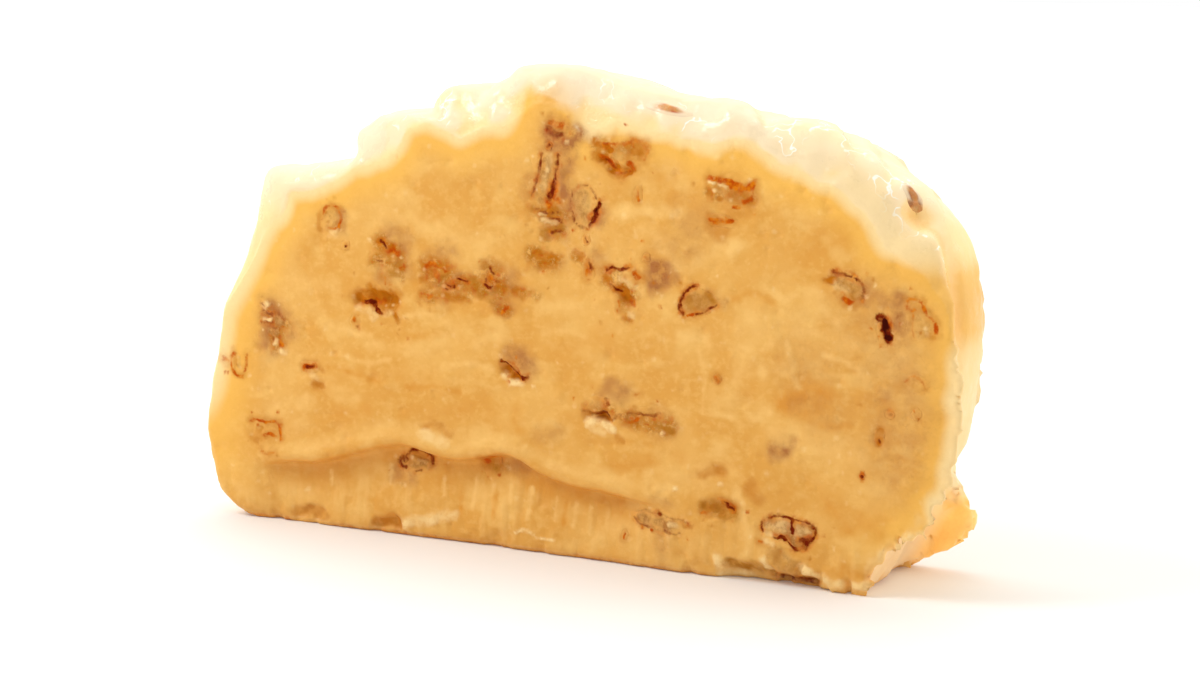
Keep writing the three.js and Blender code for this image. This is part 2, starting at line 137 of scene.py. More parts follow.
# Marks of the shown cut: kind, half width, strength, then x and z of the points the mark runs through
FRONT_MARKS = (
    # Piece 1
    ("rust", 0.26, 0.7, -41.3, 48.3, -40.9, 49.2, -40, 49.7, -39, 49.6, -38.3, 48.9, -38.1, 47.8, -38.3, 46.6),
    ("rust", 0.2, 0.6, -38.3, 46.6, -38.9, 46.3, -40.2, 46.2),
    ("amber", 0.5, 0.5, -41.8, 48.2, -41.9, 46.4, -41.5, 45.8),
    ("flesh", 1.4, 0.5, -39.7, 48.2, -39.7, 47.2),
    ("mauve", 1.2, 0.6, -38, 48.5, -37.8, 46.5),
    ("pale", 0.8, 0.5, -39.8, 45.6, -39, 45.7),
    ("red", 0.25, 0.8, -37.1, 43.8, -37, 43.7),
    # Piece 2
    ("mauve", 2.4, 0.6, -29.3, 45.6, -27, 43.5, -27.2, 41),
    ("mauve", 2, 0.35, -30.5, 40.5, -29, 39.5),
    ("amber", 0.5, 0.8, -31.6, 44.6, -30.8, 45),
    ("rust", 0.55, 0.8, -29.6, 43.2, -28.6, 43.5, -27.6, 43),
    ("red", 0.32, 0.9, -31, 44.9, -30.4, 44.6, -29.9, 43.9),
    ("red", 0.25, 0.7, -31.4, 41.9, -30.6, 41.7),
    ("olive", 0.5, 0.8, -29.6, 42, -28.2, 41.6, -27.4, 42.2),
    ("rust", 0.32, 0.8, -30.1, 39.2, -29.9, 38.6),
    ("olive", 0.6, 0.6, -29.2, 40.3, -27.6, 40),
    # Piece 3
    ("well", 1.3, 0.9, -35, 36, -33.5, 36.4, -31.8, 36.2, -30.2, 36, -28.8, 35.9),
    ("amber", 1.5, 1.2, -35.2, 36, -33.5, 36.4, -31.8, 36.2, -30.2, 36, -28.8, 35.9),
    ("amber", 0.55, 0.8, -32.9, 37, -32.7, 38.1),
    ("rust", 0.6, 0.6, -33.5, 36.2, -31.5, 35.7, -30.4, 35.4),
    ("red", 0.34, 1, -33.8, 35.4, -32.8, 35.5, -32, 35.1, -31.4, 34.4, -30.6, 33.9),
    ("amber", 0.4, 0.7, -29.2, 34.8, -28.4, 33.9, -27.7, 32.8),
    ("pale", 0.8, 0.45, -34.6, 34.3, -33.2, 34.2, -32, 33.4),
    ("pale", 0.7, 0.5, -30.3, 33.9, -29.4, 34.3),
    ("rust", 0.3, 0.8, -35.5, 32.8, -35.5, 32.6),
    ("red", 0.22, 0.6, -35, 31.6, -34.9, 31.5),
    # Piece 4
    ("mauve", 2.5, 0.4, -22, 43, -19.5, 42.8),
    ("mauve", 2, 0.3, -21.5, 38, -20.5, 36),
    ("mauve", 1.6, 0.7, -18.3, 40, -17.6, 39.8),
    ("amber", 0.9, 0.6, -21.5, 42, -20.2, 41.8),
    ("amber", 0.9, 0.6, -22, 40.6, -21.4, 40.8),
    ("amber", 0.8, 0.6, -23.4, 39.5, -22.3, 38.9),
    ("rust", 0.45, 0.8, -23.1, 41.6, -22.2, 42, -21.4, 41.7),
    ("rust", 0.35, 0.7, -21, 41.6, -20, 41.4, -19.7, 41.1),
    ("rust", 0.35, 0.5, -22.8, 41.3, -23, 39.9),
    ("red", 0.26, 0.75, -19.4, 39.2, -18.8, 38.9, -18.1, 38.9),
    ("red", 0.22, 0.6, -19.6, 38.5, -19.2, 38.4),
    ("flesh", 0.8, 0.6, -20.8, 39, -20.5, 39.2),
    ("olive", 0.5, 0.7, -20.1, 40.1, -19.4, 40.2),
    ("rust", 0.3, 0.7, -23.6, 37.5, -22.8, 37.4, -22.3, 37),
    ("rust", 0.4, 0.7, -22.4, 36.9, -21.7, 37.3),
    ("amber", 0.7, 0.8, -20.2, 37.6, -18.4, 37.2, -16.8, 37.2),
    ("amber", 0.5, 0.5, -24.2, 36.1, -23.9, 35.9),
    # Piece 5
    ("mauve", 2.2, 0.8, -11, 40.5, -9.2, 40.2, -9.5, 38.2),
    ("mauve", 2, 0.4, -14.5, 40.2, -13.2, 39.4),
    ("amber", 0.5, 0.6, -17.2, 39.5, -16.4, 39.4),
    ("olive", 1, 0.8, -15.4, 39.6, -14.4, 39.2, -13.8, 38.4),
    ("olive", 0.9, 0.6, -13.3, 42.8, -12.9, 42.5),
    ("olive", 0.9, 0.5, -12.6, 37.8, -11.8, 37.2),
    ("olive", 1, 0.6, -11.2, 38.6, -9.7, 38.8),
    ("flesh", 0.6, 0.5, -11.8, 38.7, -11.4, 38.6),
    ("red", 0.2, 0.8, -17.5, 40.1, -16.6, 39.9, -15.9, 39.8),
    ("red", 0.24, 0.55, -12, 42.1, -11.8, 41.6, -11.4, 41.3),
    ("red", 0.2, 0.5, -12.6, 40.5, -12.7, 39.9),
    ("red", 0.28, 0.7, -12.7, 39.6, -12.2, 39.3, -11.6, 39.4),
    ("red", 0.2, 0.6, -11, 40.2, -10.4, 40.2),
    ("rust", 0.4, 0.5, -11.4, 40.9, -10.6, 41.2),
    ("rust", 0.35, 0.8, -9.9, 35.5, -9.4, 36.1, -8.8, 36.5),
    ("amber", 0.7, 0.5, -7.5, 39, -6.5, 38.2),
    ("rust", 0.55, 0.45, -22.8, 41.3, -21.9, 41, -21, 40.5),
    ("rust", 0.45, 0.5, -18.8, 39.7, -17.6, 39.9, -16.6, 39.6),
    ("rust", 0.55, 0.5, -12.3, 41.1, -11.6, 40.6, -10.9, 40.1),
    ("mauve", 1.6, 0.8, -21.6, 40.4, -20.4, 39.5),
    ("mauve", 1.3, 0.8, -10.6, 36.5, -9.4, 35.9),
    # Piece 6
    ("mauve", 3, 0.9, -50.5, 32.2, -49.5, 29.5, -51, 27.5),
    ("flesh", 0.9, 0.7, -49.3, 31.6, -49, 31.2),
    ("flesh", 0.6, 0.7, -50.5, 29.6, -49.7, 29.3),
    ("red", 0.36, 0.55, -52.2, 32.9, -51.6, 32.4, -50.6, 32.2),
    ("red", 0.25, 0.4, -52.6, 33.9, -52, 33.5),
    ("red", 0.26, 0.45, -49.9, 32.5, -48.7, 32.2, -48.1, 31.5),
    ("red", 0.22, 0.5, -52.4, 30.9, -51.4, 31, -50.4, 30.9),
    ("red", 0.26, 0.45, -50.2, 30.2, -49.2, 30.1),
    ("red", 0.25, 0.45, -50.4, 29, -50.2, 28.4),
    ("rust", 0.5, 0.8, -49, 27.9, -48.6, 27.5),
    ("pale", 0.5, 0.9, -51.9, 33.4, -51.5, 33.7),
    ("pale", 0.35, 0.8, -51.8, 31.4, -50.8, 31.4),
    ("pale", 0.4, 0.9, -49.6, 28.2, -49.9, 27.8),
    ("pale", 0.45, 0.9, -48.2, 26.4, -48.8, 26.8),
    # Slit beside piece 6
    ("rust", 0.5, 0.8, -44.4, 24.6, -43.4, 24.7, -42.5, 24.9),
    ("red", 0.3, 0.75, -44.2, 24.6, -43.4, 24.7, -42.7, 24.9),
    ("amber", 0.6, 0.6, -42.6, 21.9, -41.4, 21.8),
    ("amber", 0.4, 0.5, -41.4, 24.4, -41, 24.3),
    ("pale", 0.8, 0.4, -42.8, 23.3, -42.4, 23.2),
    # Piece 7
    ("rust", 0.3, 0.8, -57.8, 25.6, -58.1, 24.4, -57.7, 22.9, -56.9, 22.2, -56.1, 22.1),
    ("rust", 0.3, 0.65, -55.2, 25.6, -55.2, 24.2, -55.4, 23),
    ("rust", 0.45, 0.5, -59.6, 24.6, -58.8, 24.3),
    ("flesh", 0.8, 0.4, -56.8, 24.6, -56.7, 23.8),
    ("amber", 0.25, 0.5, -57.1, 24.6, -57, 23.8),
    # Piece 8
    ("amber", 2.2, 0.12, -52.2, 14, -51, 13.6),
    ("rust", 0.28, 0.75, -54.4, 15.3, -53.6, 15.6, -51.8, 15.4, -49.8, 15.5, -49.1, 15, -48.9, 13.8, -48.8, 12.9),
    ("amber", 0.6, 0.6, -54.3, 12.6, -53.2, 12.6, -52.5, 13.1, -52.7, 14.2),
    ("rust", 0.28, 0.7, -52.2, 13.2, -50.8, 13.5, -49.8, 13.3),
    ("rust", 0.28, 0.6, -52.2, 10.8, -51.4, 10.4, -49.8, 10.8),
    # Piece 9
    ("mauve", 2, 0.7, -8, 29.2, -6, 28),
    ("well", 0.8, 0.8, -9.4, 27.4, -8.6, 27, -7.6, 26.3),
    ("amber", 0.8, 0.9, -9.6, 27.4, -8.6, 27, -7.6, 26.3),
    ("red", 0.3, 0.95, -10, 28.4, -9, 28, -8, 27.4, -7.3, 26.5, -6.6, 26.1, -5.6, 26.4),
    ("pale", 0.5, 0.8, -9.6, 26.4, -9.2, 26.2),
    ("pale", 0.42, 1, -8.6, 25.3, -7.4, 25.3, -6.4, 25.2),
    # Piece 10
    ("mauve", 2.2, 1, -1.8, 62.6, 0.2, 61.8, 1.4, 62.2),
    ("mauve", 1.5, 0.9, 1, 61.2, 2.4, 62.4),
    ("rust", 0.6, 0.55, -2, 64, -1, 63.9, -0.3, 63.7),
    ("red", 0.7, 0.5, -2.2, 63, -1, 62.5, -0.2, 62.3),
    ("red", 0.25, 0.7, -2.6, 60.4, -2.2, 60.8),
    # Piece 11
    ("mauve", 2, 1, 0.2, 59.5, -0.2, 56.5, 0.4, 54),
    ("mauve", 1.5, 0.5, -5.2, 55, -5.5, 53.8),
    ("flesh", 1.1, 0.7, -2.4, 58.8, -2.7, 57, -3.1, 55, -3.7, 53.4),
    ("red", 0.22, 0.6, -3.5, 59.4, -3.8, 57.6, -4.2, 55.8, -4.6, 54.4, -5.1, 53.2),
    ("red", 0.24, 0.65, -0.8, 59.4, -1.1, 57.6, -1.4, 56, -1.6, 54.8),
    ("pale", 0.5, 0.35, -2.2, 59.2, -2.6, 57, -3.2, 54.6),
    ("red", 0.42, 1, -1.5, 55.2, -1.8, 53.9, -2.2, 53),
    ("rust", 0.4, 0.9, -2.6, 52.2, -2.2, 51.9),
    # Piece 12
    ("mauve", 2.5, 0.9, -1, 50.5, 0.6, 52, 1, 50),
    ("flesh", 0.7, 0.8, -3.6, 50.2, -2.4, 50.3),
    ("olive", 0.7, 1, -4.6, 51.3, -3.2, 51, -1.8, 50.9, -0.4, 51.2),
    ("red", 0.2, 0.55, -4.4, 51.2, -3.2, 50.9, -2.2, 50.8, -0.8, 51),
    ("pale", 0.4, 0.5, -3.2, 49.9, -2, 49.6, -1, 49.5),
    ("red", 0.2, 0.7, -2.2, 50.1, -1, 50, 0, 49.6),
    ("olive", 0.8, 1, -2.6, 48, -1.6, 48.3, -0.5, 48.5),
    ("red", 0.26, 0.75, -1.9, 48, -1, 48.2, -0.3, 48.2),
    ("olive", 0.6, 0.8, -3.2, 47.8, -2.4, 47.2),
    ("rust", 0.5, 0.7, -1.1, 52.9, -0.3, 52.6),
    ("pale", 0.3, 0.7, -3.8, 50.6, -2.8, 50.6),
    # Piece 13
    ("mauve", 1.2, 0.6, 6.6, 51.6, 6.4, 50),
    ("flesh", 1.6, 0.7, 3.3, 53.2, 3.6, 51.6, 3.6, 50.6),
    ("red", 0.2, 0.55, 2.6, 55, 1.6, 54, 1.3, 52.8, 1.6, 51.2, 1.9, 50, 2.5, 49.3, 3.6, 49, 4.2, 49.1),
    ("red", 0.17, 0.45, 2.6, 55, 3.8, 55.2, 4.8, 54.6, 5.6, 53.4),
    ("red", 0.4, 1.25, 6.1, 52.7, 5.6, 51.6, 5.1, 50.4),
    ("red", 0.22, 0.8, 5.1, 50.4, 4.3, 49.2),
    # Piece 14
    ("gold", 2.4, 0.5, 14.5, 57.5, 17, 56),
    ("well", 0.8, 0.6, 6.4, 59.2, 7.4, 58.8, 8.4, 58, 9.6, 57.6, 10.6, 57.9),
    ("flesh", 1, 0.5, 9, 59.8, 10, 60.2),
    ("amber", 0.9, 1, 5.6, 59.6, 7, 59.2, 8, 58.2, 9.2, 57.6, 10.4, 57.5, 11.2, 58.2),
    ("amber", 1, 0.8, 11.6, 60.6, 12.6, 60.4),
    ("amber", 0.5, 1.1, 5, 61.6, 5.8, 61.2, 6.8, 61, 7.6, 60.4),
    ("rust", 0.3, 0.5, 6.4, 61.3, 8, 61.4, 8.8, 61.2),
    ("rust", 0.6, 0.85, 10.8, 58.8, 11.3, 58.4),
    ("rust", 0.3, 0.6, 10.6, 61.6, 11.4, 61.4),
    ("rust", 0.34, 0.55, 11.2, 62.3, 12.2, 62.1, 12.9, 62.2),
    ("rust", 0.26, 0.5, 13.4, 62, 14, 61.3, 13.6, 60.2, 13.2, 59.4),
    ("rust", 0.38, 0.9, 6, 59.5, 7.4, 58.9, 8.4, 57.9, 9.6, 57.3, 10.6, 57.6),
    ("red", 0.2, 0.45, 6.6, 59.2, 7.4, 58.9, 8.4, 57.9, 9.6, 57.3, 10.2, 57.5),
    ("rust", 0.45, 0.4, 5.2, 61.3, 7, 60.9, 9, 61.3, 11, 61.9, 12.8, 61.7, 13.8, 60.6),
    ("rust", 0.3, 0.55, 12.3, 55, 12.4, 53.6),
    # Piece 15
    ("amber", 1.6, 0.4, 27, 53.5, 29.5, 53.8),
    ("flesh", 1.1, 0.35, 25.4, 55.6, 27.2, 55.2, 28.8, 55),
    ("rust", 0.42, 0.95, 23.6, 57.4, 25.2, 57.2, 26.8, 56.9),
    ("rust", 0.75, 1.1, 27.4, 56.6, 28.3, 56.3, 29.6, 56.3, 30.4, 56.5),
    ("rust", 0.4, 0.65, 30.6, 55.4, 30, 54.6, 29.2, 54.2),
    ("rust", 0.35, 0.85, 27.6, 53.6, 28.3, 53.6),
    ("amber", 0.4, 0.7, 23.6, 55.6, 23.8, 55.2),
    ("amber", 0.4, 0.6, 25.2, 54.6, 25.6, 54.5),
    ("pale", 0.35, 0.9, 23.8, 57, 24.4, 56.9),
    ("pale", 0.35, 0.8, 25.4, 56.6, 26.3, 56.3),
    # Bar under piece 15
    ("amber", 1.4, 0.45, 24, 50.5, 26, 49.6),
    ("rust", 0.42, 1, 24, 51.5, 25.2, 51.5, 26.4, 51.6, 27.3, 51.5),
    ("red", 0.2, 0.25, 24.6, 51.4, 25.8, 51.5),
    ("rust", 0.4, 0.8, 24.6, 51.3, 25, 51.2),
    # Piece 16
    ("amber", 1.2, 0.3, -4.8, 43.6, -3, 43.8),
    ("amber", 0.6, 0.75, -4, 44.6, -2.4, 44.4, -1.2, 44.6),
    ("amber", 0.6, 0.7, -3.8, 42.9, -2.4, 42.8, -1.4, 43),
    ("mauve", 1.2, 0.4, -0.6, 43.5, -0.2, 43.5),
    ("rust", 0.25, 0.5, -3.9, 44.5, -3.2, 44.4),
    ("amber", 0.6, 0.7, 2.2, 45.3, 3.2, 45),
    ("red", 0.2, 0.75, 3.8, 47.6, 4.1, 47.1),
    ("red", 0.35, 0.8, 4.5, 44, 5, 43.2),
    ("rust", 0.3, 0.65, 4.1, 43, 4, 42.2),
    ("rust", 0.2, 0.7, 4.2, 41.5, 4.5, 41.5),
    # Piece 17
    ("mauve", 2.2, 1.3, 16, 44, 16.2, 42.8),
    ("well", 0.9, 0.6, 9.8, 40.4, 10.8, 39.6, 11.6, 39.1),
    ("cream", 1.3, 1, 9.6, 42.2, 11, 41.6, 12.4, 40.8),
    ("pale", 0.5, 0.45, 9.8, 42.2, 11, 41.6, 12.2, 41),
    ("amber", 0.6, 0.75, 7.2, 42.2, 8, 41.6, 8.6, 41),
    ("amber", 0.9, 0.9, 9.6, 40.6, 10.8, 39.6, 11.8, 39),
    ("red", 0.27, 0.9, 7.6, 43.2, 8.4, 43.6, 9.4, 43.5, 10.4, 43.5, 11.4, 43.8),
    ("red", 0.22, 0.75, 8.2, 41.2, 9, 40.6, 10, 40.2),
    ("rust", 0.4, 0.75, 12.2, 43.2, 12.9, 42.5, 12.5, 42.2),
    ("rust", 0.4, 0.75, 11.2, 39, 12, 38.4),
    ("rust", 0.25, 0.65, 9.6, 38.8, 9.8, 38),
    ("rust", 0.2, 0.5, 9.4, 37.4, 9.4, 37.2),
    ("amber", 0.5, 0.65, 10.4, 36.6, 11.4, 36.2),
    ("pale", 0.6, 0.5, 11.4, 37, 12, 37),
    ("rust", 0.3, 0.55, 13.8, 45.5, 14.2, 45.2),
    # Piece 18
    ("mauve", 1.2, 0.5, 25, 41, 26, 40),
    ("olive", 1.4, 0.6, 21.4, 39.4, 23.4, 39.8),
    ("flesh", 1.4, 0.8, 21.2, 39.4, 22.6, 39.8, 23.4, 39.6),
    ("olive", 0.6, 0.8, 24, 40.9, 24.8, 40),
    ("red", 0.24, 0.9, 22, 42, 20.8, 41.3, 20, 40.3, 19.6, 39.4, 19.6, 38.4, 20.2, 37.7),
    ("rust", 0.32, 0.8, 20.6, 37.6, 21.4, 37.8, 22.2, 37.9),
    ("red", 0.18, 0.75, 22.2, 37.9, 23.6, 38.3, 24.6, 39.1, 25.4, 39.4),
    ("red", 0.13, 0.35, 22, 42, 23.6, 41.4, 24.8, 40.9),
    # Piece 19
    ("mauve", 1.8, 0.5, 47.5, 41.5, 48.2, 43),
    ("flesh", 1.3, 1, 44, 44.2, 45.6, 43.5, 46.8, 42.9),
    ("olive", 0.9, 0.6, 44.4, 43.9, 46.4, 43),
    ("pale", 0.6, 0.4, 43.8, 43.9, 45, 43.4),
    ("amber", 0.5, 0.85, 42, 44.1, 43.1, 44.3),
    ("rust", 0.4, 0.9, 44.8, 41.8, 45.3, 41.5, 46.2, 41.5),
    ("red", 0.2, 0.7, 43, 45.6, 44.6, 45.3, 46.2, 44.9, 47.4, 44.2, 47.9, 43.2, 47.6, 42),
    ("red", 0.2, 0.75, 44.7, 42.1, 45.2, 41.8),
    ("pale", 0.3, 0.9, 45.7, 40.7, 46, 40.7),
    # Piece 20
    ("mauve", 2, 0.8, 52.5, 39.5, 53, 38),
    ("red", 0.85, 1.6, 50.8, 39.6, 51.1, 38.8, 51.4, 37.8, 51.8, 36.9),
    ("red", 0.6, 1.9, 50.9, 39.3, 51.2, 38.4, 51.7, 37.1),
    # Piece 21 and the flecks under it
    ("mauve", 1.8, 0.7, 53, 42.3, 52.8, 40.5),
    ("flesh", 1.4, 0.35, 56, 40.6, 57, 38.6),
    ("rust", 0.3, 0.85, 54.4, 42.4, 55.2, 42.6, 56.2, 42.4, 56.9, 41.5, 57.4, 40.6, 58.2, 39.9, 58.7, 39, 58.7, 38.2),
    ("rust", 0.35, 0.65, 54.4, 41.4, 55, 41, 55.6, 41.2),
    ("amber", 0.5, 0.75, 57.6, 38, 58.2, 37.6),
    ("rust", 0.15, 0.45, 55.4, 40.5, 55.3, 38.5, 55.6, 37.2),
    ("mauve", 1.6, 0.4, 53, 31.4, 53.4, 31.4),
    ("mauve", 1.4, 0.4, 51.2, 29, 51.6, 29),
    ("rust", 0.2, 0.5, 54.4, 31, 55.2, 31.8, 56.2, 31.8, 57, 31.2, 57.4, 30.3),
    ("red", 0.25, 0.6, 52.1, 26.2, 52.4, 26.2),
    ("amber", 0.55, 0.8, 50.7, 23.8, 50.7, 22.2),
    ("red", 0.2, 0.5, 50.6, 22.5, 50.8, 22.2),
    ("red", 0.2, 1, 48.2, 17.1, 48.3, 17),
    ("rust", 0.13, 0.55, 55.8, 27.2, 56.6, 26),
    ("amber", 0.3, 0.5, 47.2, 27.1, 47.6, 27.1),
    ("rust", 0.5, 1, 25.3, 28.9, 25.5, 28.5),
    ("red", 0.22, 0.6, 25.3, 28.8, 25.5, 28.6),
    # Pieces 22 and 23
    ("mauve", 2, 0.6, 8.5, 25.8, 10.5, 25.2),
    ("mauve", 2.2, 0.3, 13, 21.2, 16, 21.8, 18, 21.4),
    ("well", 0.7, 0.9, 4.4, 21.6, 5.6, 21.5, 7, 21.8, 8.2, 21.3),
    ("amber", 0.55, 0.9, 4.2, 21.4, 5.6, 21.3, 7, 21.6, 8.2, 21.1),
    ("flesh", 0.8, 0.6, 11.2, 21.9, 12.4, 21.8),
    ("flesh", 0.9, 0.4, 5.6, 23.4, 6.8, 23.4),
    ("amber", 0.4, 0.4, 5.6, 24.4, 6.4, 24.3),
    ("red", 0.3, 0.5, 3.8, 22.3, 4.8, 22, 5.8, 21.9, 6.6, 22.2, 7.4, 22.3, 8, 21.7, 8.6, 21.3, 9.2, 21.7, 9.8, 22.1),
    ("red", 0.28, 0.5, 9.8, 22.1, 10.8, 22.5, 11.6, 22.6, 13, 22.6, 14.2, 22.6, 15.2, 22.6, 16.4, 22.9),
    ("red", 0.3, 0.7, 7.6, 24.3, 8, 23.6),
    ("rust", 0.3, 0.85, 10.8, 21.1, 11.8, 21.3, 12.6, 21.6, 13, 22),
    ("olive", 0.6, 0.8, 15.8, 20.9, 17, 20.9, 18.4, 20.4),
    ("pale", 0.6, 0.9, 4.4, 20.7, 5.6, 20.8, 7, 20.6, 8.4, 20.1, 8.9, 19.9),
    ("pale", 0.7, 0.5, 5.6, 19.6, 7.2, 19.4),
    ("pale", 0.35, 0.9, 16.8, 20.2, 17.1, 20.2),
    ("amber", 0.5, 0.6, 9.4, 18.8, 10.4, 18.4),
    ("rust", 0.2, 0.5, 12.2, 25.2, 13.2, 25.6),
    # Piece 24
    ("mauve", 1.8, 0.5, -28.5, 9.6, -27, 9.2),
    ("flesh", 1.2, 0.8, -25.8, 11.4, -24.4, 11.2, -23.6, 11.2),
    ("amber", 0.8, 0.7, -25.8, 12.7, -24, 12.6),
    ("red", 0.5, 0.95, -28.6, 11.5, -28, 11.8, -27.3, 11.6),
    ("red", 0.3, 0.8, -28.4, 10.9, -27.8, 10.5, -27.3, 10.4),
    ("red", 0.32, 0.75, -27, 12.5, -26.4, 13.2, -25.6, 13.4, -24.6, 13.4, -23.6, 13, -22.7, 12.4),
    ("red", 0.4, 0.9, -22.7, 12.3, -22.7, 11.6),
    ("red", 0.22, 0.5, -25.6, 10, -24.6, 10.2),
    # Piece 25
    ("mauve", 1.6, 0.5, -8.5, 13, -7, 13),
    ("olive", 1, 0.9, -12.6, 12.4, -11.4, 12.2, -10.9, 12.4),
    ("rust", 0.5, 0.95, -13.6, 12.7, -13, 12.9),
    ("rust", 0.25, 0.75, -12.8, 13.4, -11.6, 13.6, -10.6, 13.7),
    ("red", 0.15, 0.5, -10.6, 13.5, -10.8, 12.4),
    # Piece 26
    ("flesh", 1, 0.9, 13.6, 7.5, 15.4, 7.3, 17.2, 7.2, 19, 7),
    ("red", 0.19, 0.3, 12.4, 8.1, 13.8, 8.5, 15.4, 8.4, 16.8, 8.4, 17.6, 8.2, 18.6, 8.1, 20, 8, 21.2, 7.6, 22.2, 7.2),
    ("red", 0.24, 0.4, 12.2, 7.3, 13.2, 6.6, 14.4, 6.3, 16.4, 6.1, 18, 5.9, 19.6, 5.7, 20.2, 5.9),
    ("red", 0.3, 0.9, 16.4, 8.4, 17, 8.3),
    ("pale", 0.4, 0.7, 18.6, 7.1, 19.6, 6.9),
    ("amber", 0.5, 0.75, 21, 7.3, 21.9, 7),
    ("rust", 0.27, 0.75, 10.8, 4.6, 10.6, 4.1),
    # Piece 27
    ("amber", 1.2, 0.5, 24.2, 15.2, 26.5, 15.4),
    ("amber", 1.4, 0.35, 31, 13.5, 32.5, 12.2),
    ("well", 1.2, 0.5, 24.8, 10.1, 26, 10.4, 27.6, 10.2),
    ("olive", 1.5, 0.9, 24.4, 10, 26, 10.4, 27.6, 10.2, 28.6, 9.8),
    ("rust", 0.3, 0.6, 26.2, 11.7, 27.6, 11.2, 28.6, 10.6),
    ("rust", 0.35, 0.65, 23.6, 9.4, 24.2, 9.3),
    ("red", 0.22, 0.9, 27, 11.2, 27.6, 11),
    ("red", 0.3, 1, 27.6, 10.5, 28.4, 10.3),
    # Piece 28
    ("flesh", 1.3, 1, 34.2, 8.4, 35.6, 8.6, 37, 8.4, 38.8, 8, 40.2, 8.4),
    ("flesh", 0.8, 1, 38.2, 6.8, 38.8, 6.4),
    ("red", 0.18, 0.8, 33.2, 7.6, 33, 8.6, 33.6, 9.5, 34.4, 9.8, 35.4, 10.2, 36.6, 10.1, 38, 9.9, 39.4, 9.8),
    ("red", 0.18, 0.8, 39.4, 9.8, 40.6, 9.5, 41.4, 8.9, 41.4, 8, 40.9, 7.2, 40, 6.2, 39.2, 5.6, 38.2, 5.7),
    ("red", 0.18, 0.8, 38.2, 5.7, 37.4, 6.4, 36.9, 7),
    ("red", 0.27, 0.95, 35, 7, 35.8, 7, 36.4, 7.2, 36.9, 6.9),
    ("red", 0.3, 0.95, 37.9, 9.6, 37.8, 9, 38, 8.2, 37.9, 7.9),
    ("red", 0.5, 1, 39.4, 7.1, 39.9, 6.8, 39.8, 6.2),
    ("red", 0.4, 1, 39.9, 6.8, 40.7, 7.3),
    ("red", 0.3, 0.7, 40.6, 9.2, 41, 9),
    ("rust", 0.25, 0.75, 33.4, 6.2, 32.6, 6.1),
    ("rust", 0.25, 0.85, 34.2, 9.7, 34.6, 9.6),
    ("pale", 0.9, 0.35, 34.4, 8.6, 37, 8.6),
    ("pale", 0.8, 0.35, 38.8, 8, 40.2, 8.4),
    ("pale", 0.4, 0.8, 33.8, 7.4, 34.6, 7.3),
    ("pale", 0.5, 0.6, 33.8, 6.4, 34.8, 6),
    # Crumbled nut round the pieces
    ("crumble", 1.4, 0.9, -31, 44.8, -27.5, 43),
    ("crumble", 1.3, 0.8, -32, 42, -27.4, 41.4),
    ("crumble", 0.9, 0.6, -30.5, 39.6, -27.5, 40),
    ("crumble", 2, 0.9, -22.8, 41.6, -20, 40.6),
    ("crumble", 1, 0.8, -23.6, 37.2, -21.6, 36.9),
    ("crumble", 1, 0.7, -19.9, 37.6, -16, 37.2),
    ("crumble", 1.5, 0.8, -19.4, 39.4, -13.4, 39.2),
    ("crumble", 1.9, 0.9, -12.6, 41.4, -10.5, 39),
    ("crumble", 1.1, 0.8, -10.6, 36.2, -9, 36),
    ("crumble", 0.9, 0.6, -7.6, 39, -4.2, 38.8),
    ("gold", 3, 0.6, -24, 40, -16, 38.6, -8, 39),
    ("crumble", 1.6, 0.7, -4.6, 51, -0.6, 50.4),
    ("crumble", 1.2, 0.8, -3, 48, -0.6, 48.4),
    ("crumble", 1.7, 1, -4.8, 43.8, -1.2, 43.8),
    ("crumble", 1.2, 0.7, 2.2, 45, 4.8, 43),
    ("crumble", 1.6, 0.8, 8, 42, 12, 40),
    ("crumble", 1, 0.7, 10, 38.4, 11.4, 36.4),
    ("crumble", 1.5, 0.8, 10.6, 21.8, 18, 21.2),
    ("crumble", 1, 0.6, 4.4, 22.6, 8.6, 22.6),
    ("crumble", 1.4, 0.6, 5.6, 61, 13, 60.8),
    ("crumble", 1.2, 0.6, 24, 55.4, 30, 55.2),
    ("crumble", 1.6, 0.8, -51.6, 32.4, -49, 30.4, -49.6, 27.8),
    ("crumble", 1.3, 0.7, 24.4, 10.2, 28.2, 10.2),
    ("crumble", 1.1, 0.6, -12.4, 12.6, -10.4, 12.6),
    # Soft light and dark in the fudge
    # Painted light: a pale band along the raised rim above the ledge, where light from above falls on it.
    ("cream", 1.8, 0.45, -47.2, 11.4, -38.6, 13.8, -30.2, 16.2, -23.5, 16.2, -18.5, 14.8, -13.6, 15.3),
    ("cream", 1.3, 0.5, -13.3, 15.8, -7.4, 15.6, -0.2, 13.6, 9.4, 12.6, 17.2, 11.9),
    ("cream", 1.2, 0.6, 17.2, 11.9, 21.1, 13.5, 23.2, 15.6, 25.9, 18.4),
    ("cream", 1, 0.7, 29, 12.6, 30, 9.5, 31.2, 6.5, 30.6, 4),
    ("cream", 0.9, 0.6, 14.7, 13.6, 15, 11.4),
    ("cream", 2, 0.5, 34, 22, 42, 21, 48, 19),
    ("cream", 2.2, 0.5, 26, 26, 30, 32, 31, 38),
    ("cream", 1.6, 0.5, 38, 37, 46, 35.5),
    ("cream", 1.5, 0.5, 14, 50, 20, 44.6, 23, 46),
    ("cream", 2, 0.5, -30, 49.5, -22, 47, -12, 45),
    ("cream", 1.5, 0.5, -46, 38, -40, 37.6),
    ("cream", 1.6, 0.6, -50, 17.5, -44, 19),
    ("cream", 1.3, 0.5, -32, 28.6, -24, 29.2, -18, 31.5),
    ("cream", 1.2, 0.5, -14, 31, -10, 32),
    ("cream", 1.4, 0.5, -3, 37, 3, 37.5),
    ("cream", 1, 0.7, 50, 5.6, 52, 7, 55, 8.8, 57, 12),
    ("pale", 0.9, 0.7, 62.2, 34, 62.2, 26, 61.8, 20, 60.8, 16),
